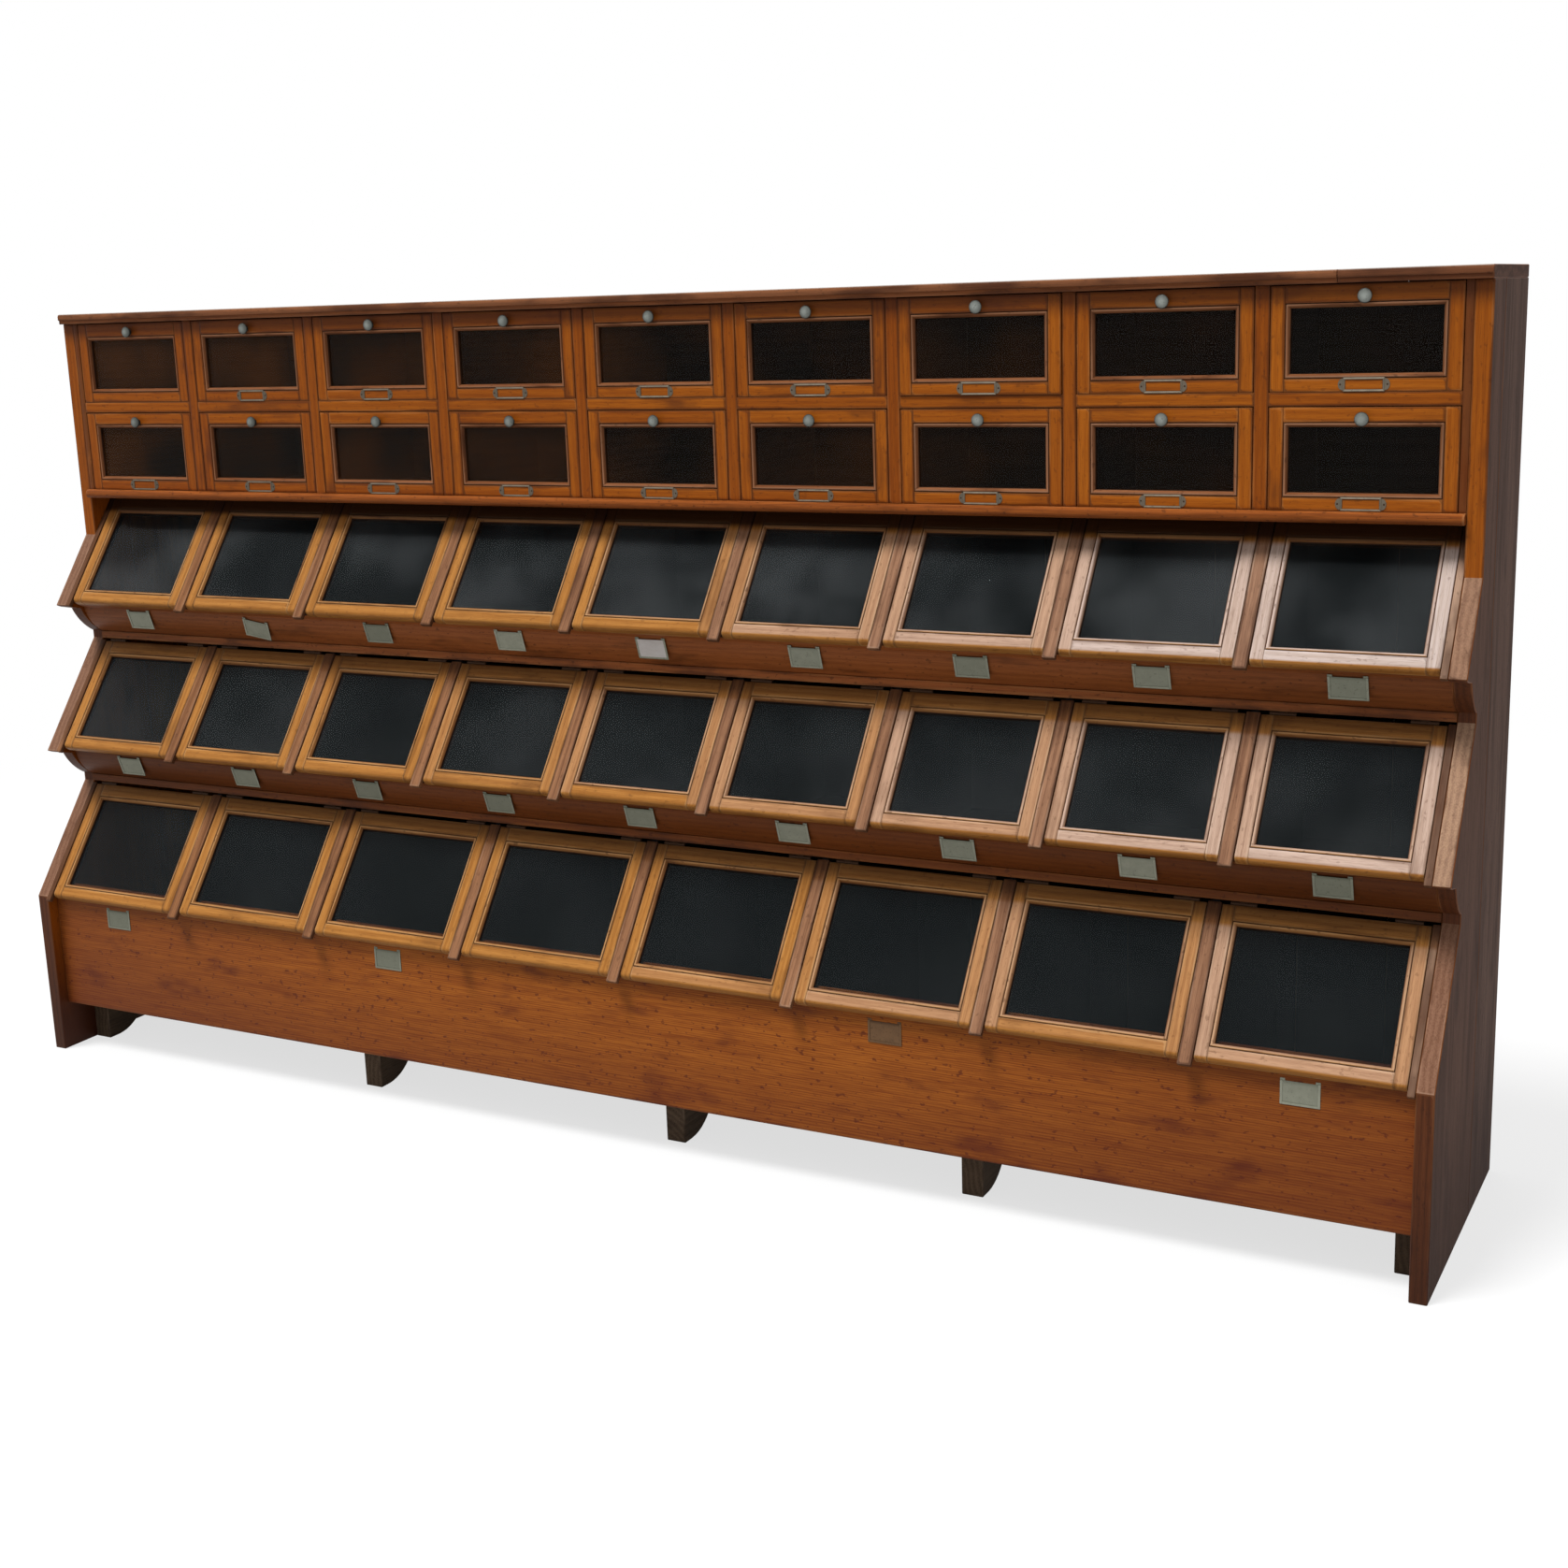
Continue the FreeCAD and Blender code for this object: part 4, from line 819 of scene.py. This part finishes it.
def glazed_frame(bench, wide, high, stile, toe, head, thick, shade, nose=0):
    """Two stiles with two rails between them, and the bead round the opening. The lower
    end can be rounded over in front. shade gives each board a tone from its share."""
    half, flat = 0.5 * wide, stile - BEAD
    between = wide - 2 * flat
    foot = [(0, 0)]
    if nose:
        foot = [(0, nose)] + arc((0, nose), (nose, 0), nose, 6) + [(nose, 0)]
    for left, width, top, along, share in (
            (-half, flat, high, 2, 0.8), (half - flat, flat, high, 2, 0.8),
            (flat - half, between, toe - BEAD, 0, 1)):
        bench.moulding(foot + [(thick, 0), (thick, top), (0, top)], left, width, soft=0.8,
                       along=along, tone=shade(share))
    bench.board((flat - half, 0, high - head + BEAD), (between, thick, head - BEAD),
                soft=0.8, tone=shade(0.8))
    # Across the bead from the flat: a quirk, the round, and the wall down to the back. The
    # wall's dark finish is partly painted shade in its recess.
    profile = ((0, 2.2), (1.5, 2.2), (1.7, 0.7), (2.8, 0.1), (4.2, 0.5), (5.6, 1.7),
               (6.9, 3.6), (7.6, 5.0), (BEAD, 5.2), (BEAD, thick), (0, thick))
    coats = (1, 3, 3, 3, 3, 3, 3, 1, 1, 1, 1)
    worn = (0, 0, 1, 1, 1, 0, 0, 0, 0, 0, 0)
    bench.mitred((flat - half, toe - BEAD), (half - flat, high - head + BEAD), profile,
                 coats, worn, shade(0.9))


def pane(name, wide, low, high, finish, film_and_reflection, body, place):
    """A pane let half a millimetre into the frame."""
    let_in = 0.5
    bench = Bench(name)
    bench.board((-0.5 * wide - let_in, GLASS_SET, low - let_in),
                (wide + 2 * let_in, GLASS_THICK, high - low + 2 * let_in), soft=0.3,
                tone=film_and_reflection)
    piece(name, bench, [finish], body, place)


def circle(x, z, radius, parts):
    turns = [math.tau * step / parts for step in range(parts)]
    return [(x + radius * math.cos(turn), z + radius * math.sin(turn)) for turn in turns]


def moving_leaf(bench, across, top):
    """The lid's hinge leaf on its upper end, with two knuckles round the pin."""
    bench.board((across - 0.5 * HINGE_WIDE, 2.9, top), (HINGE_WIDE, 11.1, LEAF_THICK),
                soft=0.3, coat=2)
    for side in (-HINGE_WIDE / 3, HINGE_WIDE / 3):
        left = across + side - 0.5 * KNUCKLE_LONG
        bench.moulding(circle(0, top + HINGE_GAP, KNUCKLE, 12), left, KNUCKLE_LONG, soft=0.2,
                       coat=2)
        bench.board((left, 1.5, top), (KNUCKLE_LONG, 1.6, LEAF_THICK), soft=0.2, coat=2)


for tier, count in LIDS_IN.items():
    lid_pitch = -2 * LEFT / count
    lid_wide = lid_pitch - STRIP_WIDE - 2 * LID_GAP
    lid_high = HINGE_ALONG - HINGE_GAP - LID_FOOT[tier]
    for column in range(count):
        name = "tier_%d_lid_%d" % (tier + 1, column + 1)
        place = slope_place(LEFT + (column + 0.5) * lid_pitch, tier, LID_FOOT[tier])
        bench = Bench(name)
        paler_from, paling, film_and_reflection = ROW_LOOKS[tier]
        bleached_and_lit = paling * ((column + 0.5) / count - paler_from)
        glazed_frame(
            bench, lid_wide, lid_high, LID_STILE, LID_TOE, LID_HEAD, LID_THICK,
            lambda share: min(1, max(0, bleached_and_lit * share + bench.chance.uniform(-0.12, 0.16))),
            LID_NOSE)
        for side in (-1, 1):
            moving_leaf(bench, side * (0.5 * lid_wide - HINGE_INSET), lid_high)
        piece(name + "_frame", bench, [lid_pine, shaded_bead_wall, hinge_steel, lid_bead], name,
              place, replaces=[name])
        pane(name + "_pane", lid_wide - 2 * LID_STILE, LID_TOE, lid_high - LID_HEAD,
             lid_glass, film_and_reflection, name, place)


# Label plates. Thin zinc card holders with folded rims and a tab at each top corner, pinned
# to the fascias under every lid and to the base board under four of them. One still holds
# its card, and one has rusted brown.

PLATE_WIDE, PLATE_HIGH, PLATE_THICK = 66, 41, 1.2


def metal(name, dull, bright, stain, roughness, rub=0.65):
    material, finish = new_finish(name)
    grain = finish.attribute("grain", "Vector")
    edge, tone = finish.attribute("edge"), finish.attribute("tone")
    blotch = finish.noise(grain, (60, 60, 60), 4)
    spots = finish.noise(grain, (260, 260, 260))
    # Wear and tone brighten the metal; on knobs and holders they also paint highlights, and a
    # negative rub paints shadow along a plate's folds.
    rubbed = (blotch.above(0.3, 0.7) * 0.3 + 0.7) * (edge * rub + tone * 0.35)
    colour = finish.colour(rubbed, dull, bright)
    colour = finish.colour(spots.above(0.6, 0.75) * 0.45, colour, stain)
    finish.surface({
        "Base Color": colour,
        "Roughness": roughness + blotch * 0.25 - 0.1,
        "Metallic": 0.7,
        "Normal": finish.node("Bump", {}, {
            "Strength": 0.3, "Distance": 0.0004, "Height": spots}),
    })
    return material


# The plates' rims are darkened as a painted shadow beside their folds.
plate_zinc = metal("plate_zinc", (0.10, 0.105, 0.074), (0.66, 0.67, 0.54),
                   (0.07, 0.065, 0.045), 0.55, rub=-0.16)
plate_rust = metal("plate_rust", (0.06, 0.027, 0.012), (0.52, 0.31, 0.16),
                   (0.04, 0.02, 0.012), 0.7, rub=-0.25)
card_paper, finish = new_finish("card_paper")
fade = finish.noise(finish.attribute("grain", "Vector"), (40, 90, 90), 4)
finish.surface({
    "Base Color": finish.colour(fade, (0.62, 0.58, 0.55), (0.86, 0.84, 0.83)),
    "Roughness": fade * 0.2 + 0.6,
})


def label_plate(bench, at, coat, card):
    half_wide, half_high = 0.5 * PLATE_WIDE, 0.5 * PLATE_HIGH
    sheet, fold, tab_wide, tab_high, margin = 0.6, 4, 8, 4, 1.5
    shade = bench.chance.uniform(0.4, 1)
    # The sheet, its three folds and its two tabs, each with how much brighter it is rubbed.
    parts = [((-half_wide, -sheet, -half_high), (PLATE_WIDE, sheet, PLATE_HIGH), 0),
             ((-half_wide, -PLATE_THICK, -half_high), (fold, sheet, PLATE_HIGH), 0.7),
             ((half_wide - fold, -PLATE_THICK, -half_high), (fold, sheet, PLATE_HIGH), 0.7),
             ((fold - half_wide, -PLATE_THICK, -half_high),
              (PLATE_WIDE - 2 * fold, sheet, fold), 0.7),
             ((-half_wide, -sheet, half_high), (tab_wide, sheet, tab_high), 0.3),
             ((half_wide - tab_wide, -sheet, half_high), (tab_wide, sheet, tab_high), 0.3)]
    for corner, size, brighter in parts:
        bench.board(corner, size, soft=0.2, coat=coat, along=0, tone=shade + brighter, at=at)
    if card:
        bench.board((margin - half_wide, -0.9, margin - half_high),
                    (PLATE_WIDE - 2 * margin, 0.3, PLATE_HIGH - margin), soft=0.1, coat=2,
                    at=at)


stand_off, plates_down = 10, 40
bench = Bench("plates")
for tier in (0, 1):
    centre = arc_centre(from_tip(tier, *BROW), hollow(tier), FASCIA_ROUND)
    for column in range(COLUMNS):
        lean, skew = (33, 10) if (tier, column) == (0, 1) else (28, 0)
        reach = FASCIA_ROUND + 0.1
        at = Matrix.Translation((
            LEFT + (column + 0.5) * PITCH,
            centre[0] - reach * math.cos(math.radians(lean)),
            centre[1] - reach * math.sin(math.radians(lean))))
        at = at @ Matrix.Rotation(math.radians(lean), 4, "X")
        # The nails are along the top, so the foot of a plate stands off the round.
        hang = Matrix.Translation((0, 0, 0.5 * PLATE_HIGH))
        at = at @ hang @ Matrix.Rotation(math.radians(-stand_off), 4, "X") @ hang.inverted()
        at = at @ Matrix.Rotation(math.radians(skew), 4, "Y")
        label_plate(bench, at, 0, (tier, column) == (0, 4))
for column in (0, 2, 5, 7):
    back, up = from_tip(2, BASE_SET, plates_down)
    at = Matrix.Translation((LEFT - 2 * LEFT * (column + 0.5) / LIDS_IN[2], back, up))
    label_plate(bench, at, 1 if column == 5 else 0, False)
piece("card_holders", bench, [plate_zinc, plate_rust, card_paper], "carcass",
      replaces=["label_plates"])


# Drawers. Oak front frames with the same bead and a pane, on plain boxes, with nickelled
# knobs and small label holders. The seventh of the upper row stands a little open.

DRAWER_GAP, RUNNER_GAP = 1.5, 0.3
FRONT_WIDE = PITCH - DIVIDER - 2 * DRAWER_GAP
FRONT_THICK, FRONT_STILE, FRONT_TOE = 20, 31.5, 29
SIDE_THICK, SIDE_SHORT, BOTTOM_LIFT, BOTTOM_THICK = 9, 22, 4, 6
REAR_GAP, KNOB_DOWN = 21, 19
BOX_LONG = DEPTH - BACK_THICK - REAR_GAP - FRONT_THICK
box_inside = wood(
    "box_inside", deep=((0.022, 0.012, 0.007), (0.11, 0.042, 0.012)),
    middle=((0.034, 0.019, 0.011), (0.16, 0.064, 0.018)),
    worn=((0.08, 0.045, 0.025), (0.10, 0.06, 0.035)), grime_and_shade=(0.01, 0.006, 0.004),
    roughness=0.65)
drawer_bead = wood(
    "drawer_bead", deep=((0.12, 0.036, 0.010), (0.18, 0.065, 0.025)),
    middle=((0.20, 0.065, 0.020), (0.28, 0.115, 0.050)),
    worn=((0.26, 0.11, 0.05), (0.36, 0.20, 0.12)), grime_and_shade=(0.03, 0.010, 0.005), wear=0.6,
    dirt=0.7, rim_dirt_and_shade=0, dents=0.4)
drawer_glass = glass("drawer_glass", 0.3, 0.15, (0.004, 0.003, 0.002),
                     (0.090, 0.030, 0.007))
knob_nickel = metal("knob_nickel", (0.018, 0.019, 0.016), (0.33, 0.355, 0.325),
                    (0.04, 0.04, 0.03), 0.3)
holder_steel = metal("holder_steel", (0.045, 0.034, 0.022), (0.66, 0.56, 0.42),
                     (0.04, 0.035, 0.025), 0.4)


def knob(name, body, place, height, shade):
    """A nickelled mushroom knob, turned in one piece, on a small collar."""
    profile = ((6.2, 0), (6.2, 1.0), (4.8, 2.0), (4.5, 3.2), (4.5, 6.6), (6.0, 7.8),
               (10.4, 8.2), (11.5, 8.8), (11.75, 9.8), (11.3, 11.1), (10.2, 12.2),
               (8.2, 13.4), (5.6, 14.3), (2.8, 14.8))
    # The crown is painted bright, partly wear and partly a highlight, and its rim and neck
    # dark, partly tarnish and partly shade.
    rubbed = (0, 0, 0, 0, 0, 0, 0, 0, 0, 0.12, 0.3, 0.45, 0.7, 1)
    turns = 32
    points = [(x, -out, z) for radius, out in profile
              for x, z in circle(0, height, radius, turns)]
    points += [(0, 0, height), (0, -15, height)]
    faces = [(loop, 0, 0, [rubbed[corner // turns] for corner in loop])
             for loop in bands(len(profile), turns)]
    last = (len(profile) - 1) * turns
    for turn in range(turns):
        follow = (turn + 1) % turns
        faces.append(([turn, len(points) - 2, follow], 0, 0, [0] * 3))
        faces.append(([last + turn, last + follow, len(points) - 1], 0, 0,
                      [rubbed[-1]] * 3))
    bench = Bench(name)
    bench.add(points, faces, shade)
    piece(name, bench, [knob_nickel], body, place)


def label_holder(name, body, place, polish_and_light):
    """A pressed frame with a raised rim and an ear with a pin each side."""
    half, low, high = 33, 0.5, 23
    middle = 0.5 * (low + high)
    ear_high, ear_out, pin_out, pin_round = 9.5, 7.5, 4.2, 1.5
    rim = ((0, 0), (0, -0.9), (0.7, -1.4), (2.6, -1.4), (3.5, -0.7), (3.5, 0))
    bench = Bench(name)
    # The rim's crest and the level bars are painted lighter than the upright bars, as lit from
    # above.
    bench.mitred((-half, low), (half, high), rim, [0] * len(rim), (0, 0, 0.7, 0.7, 0, 0),
                 0.15, sides=(polish_and_light, polish_and_light * 0.35), grain=(0, 0))
    # Ears and pins are laid flat on the bench and turned to face forward.
    face_forward = Matrix.Rotation(math.radians(-90), 4, "Z")
    for side in (-1, 1):
        ear = [(side * (half - 0.5), middle - ear_high)]
        ear += [(side * (half + 0.5 + ear_out * math.cos(turn)),
                 middle + ear_high * math.sin(turn))
                for turn in (math.radians(20 * step - 80) for step in range(9))]
        ear += [(side * (half - 0.5), middle + ear_high)]
        made_before = len(bench.mesh.faces)
        bench.moulding(ear if side > 0 else ear[::-1], 0, 0.8, soft=0.25, tone=0.1,
                       at=face_forward)
        for face in list(bench.mesh.faces)[made_before:]:
            for loop in face.loops:
                loop[bench.edge] = 0.25 * polish_and_light
        pin = circle(side * (half + pin_out), middle, pin_round, 10)
        bench.moulding(pin, 0.8, 0.6, soft=0.25, coat=1, at=face_forward)
    piece(name, bench, [holder_steel, hinge_steel], body, place)


for row, sill, opening, head in (("upper", UPPER_SILL, UPPER_OPENING, 36),
                                 ("lower", SILL, LOWER_OPENING, 32)):
    high = opening - RUNNER_GAP - DRAWER_GAP
    side_high = high - SIDE_SHORT
    for column in range(COLUMNS):
        name = "%s_drawer_%d" % (row, column + 1)
        open_by = 3 if name == "upper_drawer_7" else 0
        place = Matrix.Translation(
            (LEFT + (column + 0.5) * PITCH, FACE - open_by, sill + RUNNER_GAP))
        bench = Bench(name)
        glazed_frame(bench, FRONT_WIDE, high, FRONT_STILE, FRONT_TOE, head, FRONT_THICK,
                     lambda share: 0.1 + 0.06 * column + bench.chance.uniform(0, 0.35))
        left, inside = -0.5 * FRONT_WIDE, FRONT_WIDE - 2 * SIDE_THICK
        for corner, size in (
            ((left, FRONT_THICK, 0), (SIDE_THICK, BOX_LONG, side_high)),
            ((-left - SIDE_THICK, FRONT_THICK, 0), (SIDE_THICK, BOX_LONG, side_high)),
            ((left + SIDE_THICK, FRONT_THICK + BOX_LONG - SIDE_THICK, BOTTOM_LIFT),
             (inside, SIDE_THICK, side_high - BOTTOM_LIFT)),
            ((left + SIDE_THICK, FRONT_THICK, BOTTOM_LIFT),
             (inside, BOX_LONG - SIDE_THICK, BOTTOM_THICK)),
        ):
            bench.board(corner, size, soft=0.8, coat=2,
                        tone=max(0, 0.9 - 0.15 * column) + bench.chance.uniform(0, 0.1))
        piece(name + "_box", bench, [varnished_oak, shaded_bead_wall, box_inside, drawer_bead],
              name, place, replaces=[name])
        pane(name + "_pane", FRONT_WIDE - 2 * FRONT_STILE, FRONT_TOE, high - head,
             drawer_glass, 1 - 0.12 * column, name, place)
        # Toward the right the knobs are painted lighter, for the light they reflect.
        knob(name + "_knob", name, place, high - KNOB_DOWN, 0.1 * column)
        if name != "upper_drawer_1":
            label_holder(name + "_card_frame", name, place, 0.55 + 0.055 * column)


# Studio. A wide pale floor, an even pale background and soft light from above, a little
# from the front and the left.

floor_wide = 24
floor_mesh = bpy.data.meshes.new("studio_floor")
floor_mesh.from_pydata([(-floor_wide, -floor_wide, 0), (floor_wide, -floor_wide, 0),
                        (floor_wide, floor_wide, 0), (-floor_wide, floor_wide, 0)],
                       [], [(0, 1, 2, 3)])
floor = bpy.data.objects.new("studio_floor", floor_mesh)
bpy.context.scene.collection.objects.link(floor)
floor_paint, finish = new_finish("studio_floor")


def shown(finish):
    """1 for what the camera sees straight, in metal or through glass, else 0."""
    rays = [finish.node("LightPath", {}, {}, name)
            for name in ("Is Camera Ray", "Is Glossy Ray", "Is Transmission Ray")]
    return (rays[0] + rays[1] + rays[2]).above(0, 1)


far = finish.node("VectorMath", {"operation": "LENGTH"}, {
    0: finish.place()}, "Value").above(1.8, 4.5)
seen = shown(finish)
paper = finish.node("BsdfDiffuse", {}, {
    "Color": finish.colour(seen, (0.32, 0.31, 0.30), (0.80, 0.80, 0.80))})
glow = finish.node("Emission", {}, {"Color": (1, 1, 1, 1), "Strength": 1.0})
finish.node("OutputMaterial", {}, {"Surface": finish.node("MixShader", {}, {
    0: seen * (far * 0.3 + 0.7), 1: paper, 2: glow})})
floor_mesh.materials.append(floor_paint)

world = bpy.data.worlds.new("studio_air")
world.use_nodes = True
finish = Finish(world.node_tree)
up = finish.along("Generated")
seen = shown(finish)
strength = seen + (1 - seen) * (up.above(-0.05, 0.95) * 0.8 + 0.1)
finish.node("OutputWorld", {}, {"Surface": finish.node("Background", {}, {
    "Color": (1, 1, 1, 1), "Strength": strength})})
bpy.context.scene.world = world

sun = bpy.data.lights.new("overhead_light", "SUN")
sun.energy = 3.2
sun.angle = math.radians(20)
lamp = bpy.data.objects.new("overhead_light", sun)
lamp.matrix_world = Vector((-0.26, -0.34, 0.90)).to_track_quat("Z", "Y").to_matrix().to_4x4()
lamp.visible_glossy = False
bpy.context.scene.collection.objects.link(lamp)


# Camera. At eye height, to the right of the cabinet and turned toward it, with a plain lens
# shifted a little.

YAW, PITCH_DOWN, ROLL = 0.48303, 0.22084, -0.03197
ahead = Vector((-math.sin(YAW) * math.cos(PITCH_DOWN), math.cos(YAW) * math.cos(PITCH_DOWN),
                -math.sin(PITCH_DOWN)))
level = Vector((math.cos(YAW), math.sin(YAW), 0))
above = level.cross(ahead)
right = math.cos(ROLL) * level + math.sin(ROLL) * above
top = math.cos(ROLL) * above - math.sin(ROLL) * level
lens = bpy.data.cameras.new("eye")
lens.sensor_fit = "HORIZONTAL"
lens.sensor_width = 36
lens.lens = 47.014
lens.shift_x, lens.shift_y = -0.01955, -0.01389
eye = bpy.data.objects.new("eye", lens)
turned = Matrix((right, top, -ahead)).transposed().to_4x4()
eye.matrix_world = Matrix.Translation((2.0626, -3.3669, 1.5901)) @ turned
bpy.context.scene.collection.objects.link(eye)
bpy.context.scene.camera = eye
bpy.context.scene.view_settings.view_transform = "Standard"
